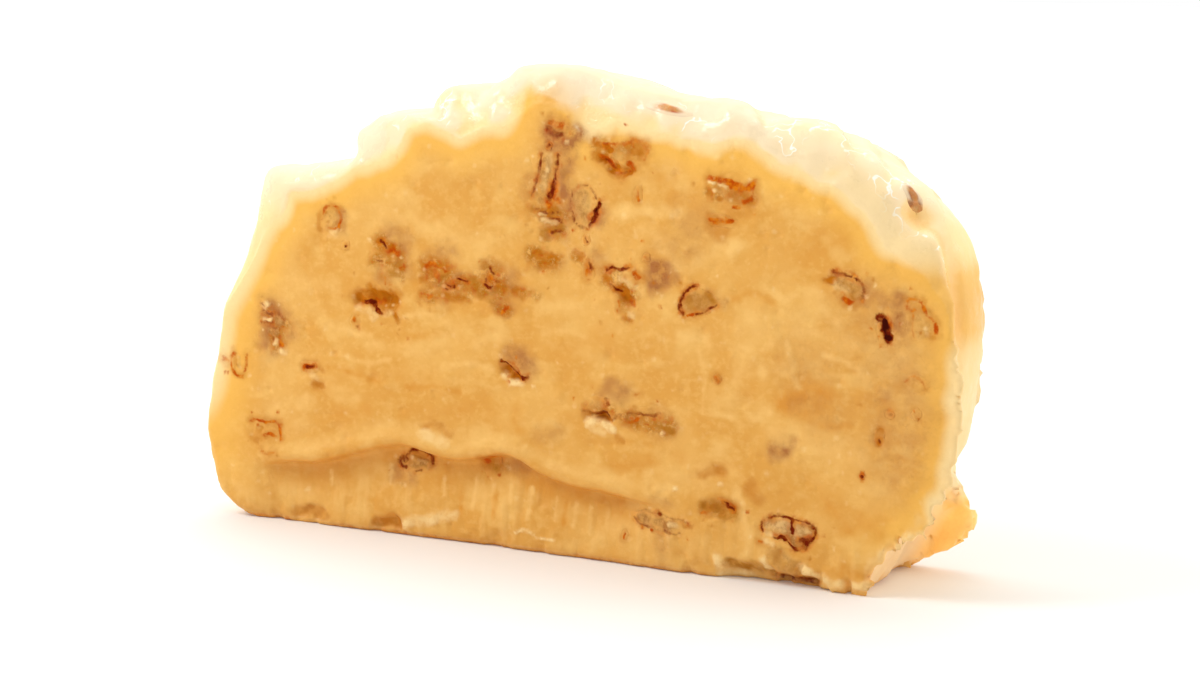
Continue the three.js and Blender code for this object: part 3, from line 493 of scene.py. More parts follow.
    ("pale", 0.8, 0.7, 60.4, 15, 59, 12.4, 58.2, 10.2, 55.2, 9, 53.8, 7.4, 51.4, 6),
    ("cream", 1.4, 0.6, 52, 32, 54, 34.5),
    ("cream", 1, 0.8, 9, 51.4, 14, 52.2, 19, 52),
    ("cream", 1.3, 0.8, 25.4, 47.4, 28.6, 48),
    ("cream", 0.9, 0.9, 18, 44.9, 19.4, 44.2),
    ("cream", 1.2, 0.7, 33, 30.6, 36, 31.4),
    ("cream", 1.4, 0.6, 40, 42, 43.6, 38.4),
    ("cream", 1.2, 0.7, 20, 34.6, 24, 34),
    ("cream", 1, 0.7, 30.6, 23.8, 33.6, 25),
    ("cream", 0.5, 0.7, 22.6, 33, 23.4, 29, 23.2, 24),
    ("cream", 0.6, 0.7, 36.4, 35, 37.2, 31.6, 38, 28.8),
    ("cream", 0.6, 0.6, 28.6, 34, 31, 33.2, 34, 34.6),
    ("cream", 0.5, 0.6, 25.6, 24, 28, 23.4, 30, 22.4),
    ("cream", 0.6, 0.6, 42, 33.6, 45.6, 33, 48, 31.6),
    ("cream", 0.7, 0.6, 33, 42.4, 36, 41, 38, 42),
    ("cream", 0.6, 0.6, -40, 31.6, -36.6, 31, -33, 30.4),
    ("cream", 0.5, 0.6, -27, 33.6, -23, 34.4, -19, 33.4),
    ("cream", 0.6, 0.6, -20, 26.8, -15, 27.6, -11.6, 27),
    ("cream", 0.5, 0.6, -38, 27, -33, 26.2, -29, 27),
    ("cream", 0.5, 0.6, -3, 33, 1, 33.8, 4, 33),
    ("gold", 0.6, 0.7, -40, 25, -36, 24.4, -31, 23.4),
    ("gold", 0.5, 0.7, -26, 23, -21, 23.6, -17, 23),
    ("gold", 0.6, 0.6, -25, 31, -21, 31.4),
    ("gold", 0.6, 0.6, 28, 40.4, 31, 41.6, 34, 40.6),
    ("gold", 0.7, 0.6, 40, 24, 43, 23.4, 46, 24),
    ("gold", 1.6, 0.4, -38.6, 17.6, -33.9, 18.6),
    ("gold", 1.5, 0.3, -26.8, 19.4, -18.6, 20, -10.2, 20.8),
    ("gold", 1.8, 0.2, -40, 22, -30, 24.5, -22, 25),
    ("gold", 2, 0.6, 43.9, 12.4, 46, 10.5, 50.1, 9.8),
    ("gold", 1.4, 0.6, 48, 3, 46.2, 3.9),
    ("gold", 1.6, 0.7, 2.7, 9.5, 6.2, 9.8, 9.4, 8.9),
    ("gold", 1.3, 0.5, 9.3, 14.8, 13.1, 14.6),
    ("gold", 1.2, 0.5, 14.9, 16.5, 16.2, 14.4),
    ("gold", 1, 0.6, 19.5, 17.2, 20.5, 16.5),
    ("gold", 1.2, 0.5, -7.1, 21.1, -7.1, 18.3),
    ("gold", 2.5, 0.4, 36, 46, 44, 50),
    ("gold", 2.5, 0.4, 18, 55, 22, 53),
    ("gold", 2.2, 0.4, 0, 31, 8, 33),
    ("gold", 1.2, 0.6, -51.4, 4, -50.4, 3.5),
    ("gold", 2.4, 0.9, 35.5, 26, 38.5, 27, 41.5, 28),
    ("mauve", 1.8, 0.35, 37, 26.6, 40.5, 27.6),
    ("mauve", 1.8, 0.8, 34.6, 19.4, 36.4, 19.8),
    ("mauve", 1.4, 0.3, 17, 5.7, 17.7, 1),
    ("mauve", 3.6, 0.25, 17, 46, 20, 48.5, 21, 50.5),
    # Painted shade: two broad faint darkenings in the stain colour over the right part of the cut, which gets less
    # light.
    ("mauve", 7, 0.28, 51, 40, 53.5, 30, 54, 20),
    ("mauve", 6, 0.2, 40, 32, 42, 26),
    ("mauve", 2.2, 0.45, 5.5, 45.5, 6.8, 44),
    ("mauve", 2, 0.45, 49.5, 42.8, 50.8, 41.5),
    ("cream", 3, 0.4, -48.5, 17, -46, 15.5),
    ("cream", 3, 0.35, 19, 15.6, 24, 15),
    ("mauve", 1.6, 0.3, -3.5, 18, -0.6, 18.6),
    ("mauve", 1.5, 0.3, 50.5, 23.4, 50.7, 22.3),
    ("mauve", 1, 0.35, 16.3, 10.4, 18.8, 10.1),
    ("amber", 0.7, 0.5, -23.2, 17.4, -21.2, 18, -18.9, 16.4),
    ("pale", 0.9, 0.5, -23.2, 16.2, -19.5, 15.4),
    ("pale", 0.4, 0.9, 26.1, 13.7, 26.5, 13.8),
    ("pale", 0.35, 0.9, 19.2, 12.3, 19.5, 12.3),
    ("pale", 0.4, 0.8, -45.1, 5.1, -44.8, 5.2),
    # Painted highlight: a thin wet glint along a slightly raised lip near the foot.
    ("pale", 0.2, 1, -7.5, 2.7, -6.4, 3.2, -5.2, 3.1, -3.6, 2.2, -2.4, 2.4, -1, 2.3),
    # Pale streaks where the knife left the foot of the slice
    ("cream", 0.35, 1, -40.6, 8.6, -40.5, 6.4),
    ("cream", 0.4, 0.9, -30, 10.4, -29.9, 7.6),
    ("cream", 0.35, 1, -20.6, 9.6, -20.4, 6.8),
    ("cream", 0.4, 1, -15.2, 9.8, -15.3, 5.4),
    ("cream", 0.35, 0.9, -8.8, 10.6, -8.7, 7),
    ("cream", 0.45, 1, -5.4, 9.4, -5.6, 5),
    ("cream", 0.35, 1, -1.2, 8.6, -1.2, 5.2),
    ("cream", 0.4, 1, 2, 8, 1.9, 4.6),
    ("cream", 0.35, 1, 4.6, 7.6, 4.7, 3.8),
    ("cream", 0.4, 0.9, 7.4, 7.8, 7.3, 5),
    ("gold", 0.5, 0.8, -17.6, 9.4, -17.6, 4.4),
    ("gold", 0.5, 0.8, -11.4, 9, -11.5, 4.6),
    ("gold", 0.5, 0.7, 0.4, 8.4, 0.3, 4.4),
    # Foot, left to right
    ("well", 1.1, 0.6, -46.6, 1.4, -43.7, 2, -41.6, 1.4),
    ("amber", 0.9, 0.5, -46.6, 1.4, -43.7, 2, -41.6, 1.4),
    ("well", 1, 0.7, -31.8, 1.3, -29.2, 2, -27.9, 1.4),
    ("amber", 0.9, 0.6, -31.8, 1.5, -29.2, 2.2, -27.9, 1.6),
    ("pale", 0.9, 0.8, -27, 2, -24.5, 2.6, -22.4, 3.1, -18.4, 4.2),
    # Painted shadow: a thin dark line along the very foot of the cut, where it meets the floor.
    ("rust", 0.5, 0.5, -55.5, 0.3, -52, 0.3, -48.2, 0.3),
    ("rust", 0.45, 0.35, -40, 0.2, -20, 0.2, 0, 0.2, 24, 0.2),
    # Foot under piece 28
    ("well", 1, 1.2, 28, 2.2, 31, 2.2, 34, 2),
    # Painted shade: an olive-brown band in the recess along the foot.
    ("olive", 0.9, 0.9, 27.8, 2.3, 31, 2.3, 34, 2.1),
    ("well", 0.8, 1, 35.4, 0.9, 38, 0.9, 41, 1.1),
    # Painted shade: a dark red-brown line in the gap under the foot.
    ("red", 0.5, 0.7, 35.2, 0.8, 38, 0.8, 41.2, 1),
    ("flesh", 1.6, 0.5, 35.4, 4.8, 36.8, 3.4, 38.4, 3),
    ("olive", 0.8, 0.5, 35.2, 3.4, 35.8, 4.8),
    ("pale", 0.8, 1, 26.2, 3, 26.6, 1.6, 26.8, 0.5),
    ("pale", 0.6, 0.8, 27.6, 0.8, 29.4, 0.9, 30.6, 0.7),
    ("pale", 0.5, 1, 33.4, 3.6, 33.8, 2.8, 33.9, 2.2),
    ("well", 0.6, 1, 38.6, 1.9, 39, 3.2),
    ("pale", 0.7, 1.1, 39.5, 2.7, 40.4, 2.6, 41.4, 2),
    ("well", 0.5, 0.9, 41.9, 1.2, 42.1, 2.4),
    ("pale", 0.7, 0.8, 42.8, 1.9, 44, 1.3, 45.4, 1.4),
    ("well", 0.45, 0.9, 46.4, 0.6, 46.6, 1.8),
    ("pale", 0.6, 0.8, 47.2, 1.5, 48.4, 1.1, 49.4, 1.6),
    ("gold", 1, 0.6, 43.6, 2.8, 46, 3, 48, 2.8),
)

# Places of small flecks on the shown cut: x, z, half width, half height
FLECKS = (
    (-37.1, 43.8, 0.8, 0.8), (-22.6, 37.2, 1.9, 0.9), (-9.4, 36, 1.3, 1.2), (-43.3, 24.7, 1.9, 0.9),
    (-35.3, 32.2, 0.9, 1.2), (25.6, 51.4, 2.4, 1), (12.3, 54.3, 0.8, 1.4), (4.4, 43, 1.1, 2), (3.9, 47.3, 0.7, 0.8),
    (55.9, 31, 2.1, 1.4), (52.2, 26.2, 0.7, 0.7), (50.7, 22.9, 0.9, 1.3), (25.4, 28.7, 0.7, 0.8),
    (17.2, 20.7, 2.1, 0.9), (48.2, 17.1, 0.5, 0.5), (10.7, 4.4, 0.6, 0.7), (56.2, 26.6, 0.7, 1),
    (10.2, 37, 1.5, 1.9), (14, 45.4, 0.7, 0.6), (-2.4, 60.6, 0.6, 0.6), (-16.7, 39.8, 1.4, 0.8),
)


def ease(value, start, end):
    """0 before start, 1 after end, with level ends."""
    t = np.clip((value - start) / (end - start), 0.0, 1.0)
    return t * t * (3.0 - 2.0 * t)


def bell(value, width):
    """1 at zero, falling away smoothly on both sides over the width."""
    return np.exp(-((value / width) ** 2))


def soft_max(a, b, radius):
    """The larger of two distances, with the corner between them rounded off."""
    h = np.maximum(radius - np.abs(a - b), 0.0) / radius
    return np.maximum(a, b) + h * h * radius * 0.25


def lattice_value(ix, iy, iz, seed):
    """A repeatable value between -1 and 1 for each lattice corner."""
    h = ix.astype(np.uint32) * np.uint32(374761393)
    h = h + iy.astype(np.uint32) * np.uint32(668265263)
    h = h + iz.astype(np.uint32) * np.uint32(2147483647)
    h = h + np.uint32(seed * 1274126177 & 0xFFFFFFFF)
    h = (h ^ (h >> np.uint32(13))) * np.uint32(1103515245)
    h = h ^ (h >> np.uint32(16))
    return (h & np.uint32(0xFFFF)).astype(np.float32) / 32767.5 - 1.0


def noise(x, y, z, size, seed):
    """Smooth noise between -1 and 1 with lumps of about the given size."""
    x, y, z = np.broadcast_arrays(x / size, y / size, z / size)
    cells = [np.floor(v).astype(np.int64) for v in (x, y, z)]
    fx, fy, fz = (v - c for v, c in zip((x, y, z), cells))
    fx, fy, fz = (f * f * f * (f * (f * 6 - 15) + 10) for f in (fx, fy, fz))
    total = np.zeros(x.shape)
    for dx in (0, 1):
        for dy in (0, 1):
            for dz in (0, 1):
                weight = (fx if dx else 1 - fx) * (fy if dy else 1 - fy) * (fz if dz else 1 - fz)
                total += weight * lattice_value(cells[0] + dx, cells[1] + dy, cells[2] + dz, seed)
    return total


def rough_noise(x, y, z, size, seed, octaves=3):
    """Noise with finer and finer lumps added."""
    total = 0.0
    for k in range(octaves):
        total = total + noise(x, y, z, size / 2**k, seed + 31 * k) / 2**k
    return total / 1.6


def guide_curve(points, steps):
    """A smooth curve through the points, with the given steps between each pair."""
    padded = np.vstack([2 * points[0] - points[1], points, 2 * points[-1] - points[-2]])
    p0, p1, p2, p3 = padded[:-3], padded[1:-2], padded[2:-1], padded[3:]
    t01, t12, t23 = (
        np.sqrt(np.linalg.norm(b - a, axis=1))[:, None] for a, b in ((p0, p1), (p1, p2), (p2, p3))
    )
    m1 = (p1 - p0) / t01 - (p2 - p0) / (t01 + t12) + (p2 - p1) / t12
    m2 = (p2 - p1) / t12 - (p3 - p1) / (t12 + t23) + (p3 - p2) / t23
    m1, m2 = m1 * t12, m2 * t12
    t = (np.arange(steps) / steps)[None, :, None]
    p1, p2, m1, m2 = (v[:, None, :] for v in (p1, p2, m1, m2))
    rise = 3 * t**2 - 2 * t**3
    curve = p1 * (1 - rise) + p2 * rise + m1 * (t**3 - 2 * t**2 + t) + m2 * (t**3 - t**2)
    return np.vstack([curve.reshape(-1, points.shape[1]), points[-1]])


def line_distance(points, x, z):
    """Distance from places to a line through the points."""
    nearest = np.full(x.shape, 1e9)
    for (ax, az), (bx, bz) in zip(points[:-1], points[1:]):
        ex, ez = bx - ax, bz - az
        t = np.clip(((x - ax) * ex + (z - az) * ez) / max(ex * ex + ez * ez, 1e-9), 0, 1)
        nearest = np.minimum(nearest, (x - ax - ex * t) ** 2 + (z - az - ez * t) ** 2)
    return np.sqrt(nearest)


# Body of the slice

STEPS = 6
CROWN_DEPTH = 4.2
BACK_FALL = 2.4
LIP_HEIGHT = 0.45
LIP_DEPTH = 0.8
BACK_TAPER = 5.0
SKIRT_REACH = 8.0
SKIRT_HEIGHT = 7.0
SKIRT_START = 17.5
SKIRT_FULL = 20.5
SIDE_FOLD = 3.6
SIDE_FOLD_DEPTH = 1.5
FOLDS = ((23.2, 1.3, 4.5), (37, 1.4, 4.0), (42.6, 1.3, 3.0), (52.4, 1.4, 2.5))
FOLD_LEAN = -0.7
FOLD_EDGE = 0.8
DIMPLE = (54.6, -9.6, 54.4)
DIMPLE_RADIUS = 2.6
DIMPLE_DEPTH = 1.7
EDGE_REACH = 9.0
END_REACH = 5.0
LAYER_DEPTHS = np.array([-3.0, 0, 0.5, 1, 1.6, 2.3, 3.2, 4.2, 6, 9, 12.5, 16, 19, 21, 22.4, 23.6, 25, 28])


def side_crease(x, depth, z):
    """1 along the upright crease in the right side."""
    return bell(depth - SIDE_FOLD, 1.3) * ease(x, 50, 56) * ease(z, 22, 34) * (1 - ease(z, 52, 57))


def past_folds(x, y):
    """For each fold of the crown, how far places lie beyond it, its drop and how far it runs on."""
    return [(x - place - FOLD_LEAN * y, drop, run) for place, drop, run in FOLDS]


def outline_at(depth):
    """The slice's outline at one depth behind the shown cut, as x and z of its corners."""
    depth = float(np.clip(depth, 0.0, THICKNESS))
    y = FRONT_Y + depth
    shift = np.sin(0.5 * np.pi * np.clip(depth / CROWN_DEPTH, 0, 1))
    curve = guide_curve(STATIONS.astype(float), STEPS)
    x = curve[:, 0] + (curve[:, 2] - curve[:, 0]) * shift
    z = curve[:, 1] + (curve[:, 3] - curve[:, 1]) * shift
    z = z - BACK_FALL * ease(depth, CROWN_DEPTH, THICKNESS) * ease(x, -20, 0) * ease(z, 30, 55)
    z = z + LIP_HEIGHT * bell(depth - LIP_DEPTH, LIP_DEPTH) * ease(x, 2, 8) * ease(z, 44, 48)
    right = np.maximum(x, 0) / HALF_LENGTH
    x = x - BACK_TAPER * ease(y, -3, BACK_Y) * right
    low = bell(z - SKIRT_HEIGHT, 5.5) * ease(x, HALF_LENGTH / 2, HALF_LENGTH * 0.7)
    x = x + SKIRT_REACH * ease(depth, SKIRT_START, SKIRT_FULL) * low
    x = x - SIDE_FOLD_DEPTH * side_crease(x, depth, z)
    sink = 0.0
    for past, drop, run in past_folds(x, y):
        sink = sink + drop * ease(past, -0.2, FOLD_EDGE) * np.exp(-np.maximum(past, 0) / run)
    z = z - shift * sink * ease(z, 40, 54)
    edges = (1 - shift, ease(depth, THICKNESS - 2.5, THICKNESS))
    ragged = 0.65 * ease(z, 9, 14) * (1 - ease(z, 27, 37))
    torn = np.maximum(bell(z - 9, 9), ragged) * ease(x, 40, 48)
    tears = (1 - ease(depth, 0.5, 1.8), edges[1])
    for side, (edge, teeth_share) in enumerate(zip(edges, tears)):
        wobble = rough_noise(x, 40.0 * side, z, 4.5, SEED + side) * (0.45 + 0.35 * ease(z, 40, 50))
        teeth = np.abs(noise(x, 40.0 * side, z, 1.9, SEED + 5 + side)) * 1.7 - 0.5
        push = (edge * wobble + teeth_share * torn * teeth) * ease(z, 0.3, 2.5)
        x = x + push * np.sign(x) * ease(np.abs(x), 25, 55)
        z = z + push * ease(z, 35, 50)
    return np.stack([x, np.maximum(z, 0.0)], 1)


def outline_distance(outline, px, pz):
    """Signed distance from points to a closed outline, negative inside."""
    a = outline.astype(np.float32)
    b = np.roll(a, -1, axis=0)
    nearest = np.full(px.shape, 1e9, np.float32)
    inside = np.zeros(px.shape, bool)
    for (ax, az), (bx, bz) in zip(a, b):
        ex, ez = bx - ax, bz - az
        length = ex * ex + ez * ez
        if length < 1e-9:
            continue
        wx, wz = px - ax, pz - az
        t = np.clip((wx * ex + wz * ez) / length, 0, 1)
        nearest = np.minimum(nearest, (wx - ex * t) ** 2 + (wz - ez * t) ** 2)
        crosses = (az > pz) != (bz > pz)
        if ez != 0:
            inside ^= crosses & (px < ax + ex * (pz - az) / ez)
    return np.sqrt(nearest) * np.where(inside, -1, 1)


class Sheet:
    """Evenly spaced places over x and z, for values that belong to a cut face."""

    def __init__(self, step):
        self.step = step
        self.x = np.arange(-HALF_LENGTH - 3, HALF_LENGTH + 3, step)
        self.z = np.arange(-1.7, CAD_BOX[1].z / MM + 3, step)

    def window(self, low, high):
        """The part of the sheet between two corners."""
        i = np.searchsorted(self.x, (low[0], high[0]))
        k = np.searchsorted(self.z, (low[1], high[1]))
        return slice(i[0], i[1] + 1), slice(k[0], k[1] + 1)

    def sample(self, values, x, z):
        """Values read between the sheet's places."""
        i = np.clip((x - self.x[0]) / self.step, 0, len(self.x) - 1.001)
        k = np.clip((z - self.z[0]) / self.step, 0, len(self.z) - 1.001)
        i0, k0 = i.astype(int), k.astype(int)
        across, up = i - i0, k - k0
        low = values[i0, k0] * (1 - across) + values[i0 + 1, k0] * across
        high = values[i0, k0 + 1] * (1 - across) + values[i0 + 1, k0 + 1] * across
        return low * (1 - up) + high * up


class Lattice(Sheet):
    """The points in space that the slice's surface is found on."""

    def __init__(self, step, step_deep):
        super().__init__(step)
        self.y = np.arange(FRONT_Y - 2.4, BACK_Y + 2.4, step_deep)
        self.steps = np.array([step, step_deep, step])
        self.origin = np.array([self.x[0], self.y[0], self.z[0]])


class Spot:
    """The lobed outline of one pecan piece or fleck in a cut face."""

    def __init__(self, name, centre, half, axes, seed, lobes=0.22):
        self.name, self.seed = name, seed
        self.centre, self.half, self.axes = np.array(centre), np.array(half), np.array(axes)
        random = np.random.default_rng(seed)
        self.waves = [(k, random.uniform(-1, 1) * lobes / k**0.6, random.uniform(0, 6.3)) for k in range(2, 8)]

    @classmethod
    def of_node(cls, node, seed):
        """The spot that a solid of the frame takes up in its cut face."""
        points = np.array([v.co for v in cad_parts[node].data.vertices]) / MM
        flat = points[:, (0, 2)]
        centre = (flat.min(0) + flat.max(0)) / 2
        _, axes = np.linalg.eigh(np.cov((flat - centre).T))
        axes = axes[:, ::-1].T
        half = np.abs((flat - centre) @ axes.T).max(0)
        return cls(node, centre, half, axes, seed + 17 * node_number(node))

    def radius(self, angle):
        """The outline round the centre, as a share of the ellipse."""
        return 1 + sum(height * np.cos(k * angle + phase) for k, height, phase in self.waves)

    def spread(self, x, z):
        """How far out places lie: 0 at the centre, 1 on the outline."""
        away = np.stack([x - self.centre[0], z - self.centre[1]], -1)
        p, q = np.moveaxis(away @ self.axes.T / self.half, -1, 0)
        return np.hypot(p, q) / self.radius(np.arctan2(q, p))

    def places(self, share, angle):
        """x and z at a share of the outline, at an angle round it."""
        reach = share * self.radius(angle)
        flat = np.stack([reach * np.cos(angle) * self.half[0], reach * np.sin(angle) * self.half[1]], -1)
        return np.moveaxis(flat @ self.axes + self.centre, -1, 0)


def drawn_marks(spot):
    """Marks for a piece on the far side: broken skin, flesh, a fissure and a stain."""
    random = np.random.default_rng(spot.seed)
    start = random.uniform(0, 6.3)
    marks = []

    def arc(kind, width, strength, share, first, last):
        x, z = spot.places(np.full(9, share), np.linspace(first, last, 9))
        marks.append((kind, width, strength, *np.stack([x, z], 1).ravel()))

    mean = float(spot.half.min())
    arc("mauve", 0.7 * mean, random.uniform(0.5, 1), 0.9, start, start + 5)
    arc("flesh", 0.45 * mean, random.uniform(0.4, 0.9), 0.35, start, start + 6)
    arc("red", random.uniform(0.18, 0.32), random.uniform(0.5, 0.95), 0.82, start, start + random.uniform(2, 4.5))
    arc("rust", random.uniform(0.3, 0.5), random.uniform(0.5, 0.9), 0.78, start + 3.5, start + random.uniform(4.2, 5.5))
    arc("amber", 0.3 * mean, random.uniform(0.3, 0.9), 0.5, start + 4, start + 5)
    arc("red", random.uniform(0.2, 0.4), random.uniform(0.4, 1), 0.3, start + 1, start + random.uniform(1.5, 3))
    arc("pale", 0.3, 0.7, 0.95, start + 5, start + 5.5)
    if random.uniform() < 0.4:
        arc("well", 0.5 * mean, random.uniform(0.5, 1.2), 0.3, start, start + 4)
    return marks


class CutFace:
    """One cut face over x and z: how far it lies behind the flat cut, and the marks on it."""

    def __init__(self, step, spots, flecks, marks, side, sizes):
        self.sheet = Sheet(step)
        self.spots, self.flecks, self.side, self.sizes = spots, flecks, side, sizes
        self.seed = SEED + 1000 * (side > 0)
        self.x, self.z = np.meshgrid(self.sheet.x, self.sheet.z, indexing="ij")
        self.paint = {kind: np.zeros(self.x.shape, np.float32) for kind in (*PAINT_KINDS, "well")}
        for number, mark in enumerate(marks):
            self.add_mark(mark, number)
        self.open = self.dents() + self.swells() + self.streaks() + self.pits()
        self.relief = self.open + self.seats()
        for number, (kind, width, strength, *line) in enumerate(marks):
            if kind in HALOS:
                halo, broader, share = HALOS[kind]
                width = width + min(width, HALO_GROWTH) + broader
                self.add_mark((halo, width, share * min(strength, 1), *line), number + len(marks))
        self.add_specks()

    def at(self, values, x, z):
        return self.sheet.sample(values, x, z)

    def add_mark(self, mark, number):
        kind, width, strength, *line = mark
        points = np.array(line, float).reshape(-1, 2)
        if len(points) > 2:
            points = guide_curve(points, 5)
        reach = 2.4 * width + 0.4
        window = self.sheet.window(points.min(0) - reach, points.max(0) + reach)
        x, z = self.x[window], self.z[window]
        ragged = rough_noise(x, 0.7 * number, z, max(0.6, 1.5 * width), self.seed + number)
        soft = MARK_SOFTNESS[kind]
        away = line_distance(points, x, z) + ragged * (0.7 * width + 0.06)
        value = strength * (1 - ease(away, width * (1 - soft), width * (1 + 0.5 * soft)))
        value = value * (0.85 + 0.4 * noise(x, 0.3 * number, z, 1.3, self.seed + 3))
        self.paint[kind][window] = np.maximum(self.paint[kind][window], value)

    def dents(self):
        """What the marks do to the surface."""
        return sum(MARK_RELIEF[kind] * sheet for kind, sheet in self.paint.items())

    def swells(self):
        """The slow waves of the cut, and on the shown side the ledge across its foot, with a painted shadow under it.
        """
        x, z = self.x, self.z
        swell = 0.4 * noise(x, 0, z, 21, self.seed) + 0.22 * noise(x, 3, z, 8, self.seed + 1)
        if self.side > 0:
            return swell
        above = z - ledge_height(x)
        fade = (1 - ease(x, 6, 21)) * ease(x, -55, -47)
        step = self.sizes.ledge_depth / MM * fade
        rim = -0.6 * bell(above - 1.2, 1.2) * fade
        panel = (1 - ease(above, -0.5, 0.3)) * (0.35 + 0.65 * ease(above, -11, -2))
        # Painted shadow: a band of deep gold, with a touch of amber just under the lip, under the ledge's overhang.
        self.add_paint("gold", 0.6 * bell(above + 2, 2.4) * fade)
        self.add_paint("amber", 0.12 * bell(above + 0.9, 0.9) * fade)
        return swell + rim + step * panel

    def add_paint(self, kind, value):
        self.paint[kind] = np.maximum(self.paint[kind], value)

    def streaks(self):
        """Upright drag marks under the ledge, slanting ones above it, and the ragged foot."""
        x, z, seed = self.x, self.z, self.seed + 200
        upright = rough_noise(x, 0, z * 0.2, 1.1, seed, 2)
        slanting = rough_noise(x * 0.35 + z * 0.1, 0, z - 0.25 * x, 1.6, seed + 3, 2) * 0.1
        slanting = slanting + rough_noise(x, 7, z, 1.0, seed + 4, 2) * 0.05
        under = 1 - ease(z - ledge_height(x), -1.5, 0.0)
        drag = slanting * (1 - under) + 0.2 * upright * under
        if self.side < 0:
            self.add_paint("cream", 0.35 * ease(-upright, 0.0, 0.5) * (1 - ease(z - ledge_height(x), -5, -2.5)))
        foot = 1 - ease(z, 0.6, 3.2)
        torn = np.maximum(rough_noise(x, 0, z * 0.7, 3.6, seed + 5), 0) * 1.5
        undercut = 2.0 * ease(x, 25, 29) * (1 - ease(x, 40, 44)) * (1 - ease(z, 0.9, 2.4))
        return drag + foot * torn + undercut * (self.side < 0)

    def pits(self):
        """Small open pores and soft crumbs stuck to the cut."""
        random = np.random.default_rng(self.seed + 40)
        relief = np.zeros(self.x.shape)
        for _ in range(520):
            place = np.array([random.uniform(-60, 60), random.uniform(1, 66)])
            radius = random.uniform(0.3, 0.9) ** 1.4
            depth = random.uniform(0.1, 0.36) * random.choice([1, 1, -0.8])
            stretch = random.uniform(0.7, 1.7)
            window = self.sheet.window(place - 3 * radius * stretch, place + 3 * radius * stretch)
            away = np.hypot((self.x[window] - place[0]) / stretch, self.z[window] - place[1])
            relief[window] += depth * bell(away, radius)
        return relief

    def add_specks(self):
        """Pale crumbs over the cut, which also serve as small painted glints, and dust of nut skin round the pecans."""
        random = np.random.default_rng(self.seed + 80)
        for _ in range(420):
            place = (random.uniform(-58, 58), random.uniform(2, 64))
            self.add_speck("pale", place, random.uniform(0.15, 0.4), random.uniform(0.1, 0.5) ** 1.4)
        for spot in self.spots:
            for _ in range(int(3 + 1.2 * spot.half.sum())):
                place = spot.places(random.uniform(0.7, 1.7), random.uniform(0, 6.3))
                kind = random.choice(["rust", "rust", "amber", "pale"])
                self.add_speck(kind, place, random.uniform(0.16, 0.36), random.uniform(0.25, 0.7))

    def add_speck(self, kind, place, radius, strength):
        place = np.array(place)
        window = self.sheet.window(place - 2 * radius, place + 2 * radius)
        away = np.hypot(self.x[window] - place[0], self.z[window] - place[1])
        value = strength * (1 - ease(away, 0.4 * radius, 1.4 * radius))
        self.paint[kind][window] = np.maximum(self.paint[kind][window], value)

    def seats(self):
        """The hollows under the pecan pieces and flecks, which they fill."""
        relief = np.zeros(self.x.shape)
        for spot in (*self.spots, *self.flecks):
            reach = 1.5 * spot.half.max()
            window = self.sheet.window(spot.centre - reach, spot.centre + reach)
            spread = spot.spread(self.x[window], self.z[window])
            relief[window] = np.maximum(relief[window], SEAT_DEPTH * (1 - ease(spread, 0.6, 0.88)))
        return relief


def ledge_height(x):
    curve = guide_curve(LEDGE_LINE.astype(float), 12)
    return np.interp(x, curve[:, 0], curve[:, 1])


@functools.lru_cache(maxsize=None)
def slice_parts():
    """The lattice and the two cut faces, made once."""
    sizes = bpy.context.scene.fudge_sizes
    lattice = Lattice(sizes.lattice_step / MM, sizes.lattice_step_deep / MM)
    step = sizes.paint_step / MM
    front = [Spot.of_node(node, SEED) for node in FRONT_NODES]
    flecks = [
        Spot("fleck", (x, z), (wide, high), np.eye(2), SEED + 900 + n) for n, (x, z, wide, high) in enumerate(FLECKS)
    ]
    back = [Spot.of_node(node, SEED + 500) for node in BACK_NODES]
    back_marks = [mark for spot in back for mark in drawn_marks(spot)]
    front_face = CutFace(step, front, flecks, FRONT_MARKS, -1, sizes)
    return lattice, front_face, CutFace(2 * step, back, (), back_marks, 1, sizes)


@functools.lru_cache(maxsize=None)
def outline_layers():
    """Distance to the outline at each layer depth, over the lattice's x and z."""
    lattice, _, _ = slice_parts()
    coarse_x, coarse_z = lattice.x[::2], lattice.z[::2]
    px, pz = (v.astype(np.float32) for v in np.meshgrid(coarse_x, coarse_z, indexing="ij"))
    layers = []
    for depth in LAYER_DEPTHS:
        sheet = outline_distance(outline_at(depth), px, pz)
        rows = np.array([np.interp(lattice.x, coarse_x, column) for column in sheet.T]).T
        layers.append(np.array([np.interp(lattice.z, coarse_z, row) for row in rows]))
    return np.array(layers, np.float32)


def outline_sheet(y):
    """Distance to the outline over x and z at one y."""
    layers = outline_layers()
    place = np.interp(y - FRONT_Y, LAYER_DEPTHS, np.arange(len(LAYER_DEPTHS)))
    low = min(int(place), len(LAYER_DEPTHS) - 2)
    return layers[low] + (layers[low + 1] - layers[low]) * (place - low)


def ragged_edge(x, y, z):
    """How far the torn edges at the lower right stand in or out at one y."""
    depth = y - FRONT_Y
    torn = ease(x, 36, 44) * (1 - 0.65 * ease(z, 12, 20)) * (1 - ease(z, 40, 48))
    near = np.maximum(1 - ease(depth, 0.8, 2.0), ease(depth, SKIRT_START, SKIRT_FULL))
    teeth = np.abs(noise(x, y * 0.6, z, 1.5, SEED + 70)) * 1.8 - 0.7 + 0.6 * noise(x, y, z, 0.9, SEED + 71)
    return 1.1 * near * torn * teeth


def slice_field(sizes):
    """Distance to the slice's surface at every lattice point, negative inside."""
    lattice, front, back = slice_parts()
    radius = sizes.edge_radius / MM
    x, z = np.meshgrid(lattice.x, lattice.z, indexing="ij")
    front_y = FRONT_Y + front.at(front.relief, x, z)
    back_y = BACK_Y - back.at(back.relief, x, z)
    field = np.empty((len(lattice.x), len(lattice.y), len(lattice.z)), np.float32)
    for j, y in enumerate(lattice.y):
        cut = soft_max(front_y - y, y - back_y, radius)
        edge = outline_sheet(y) + ragged_edge(x, y, z)
        field[:, j, :] = soft_max(edge, cut, radius)
    return field


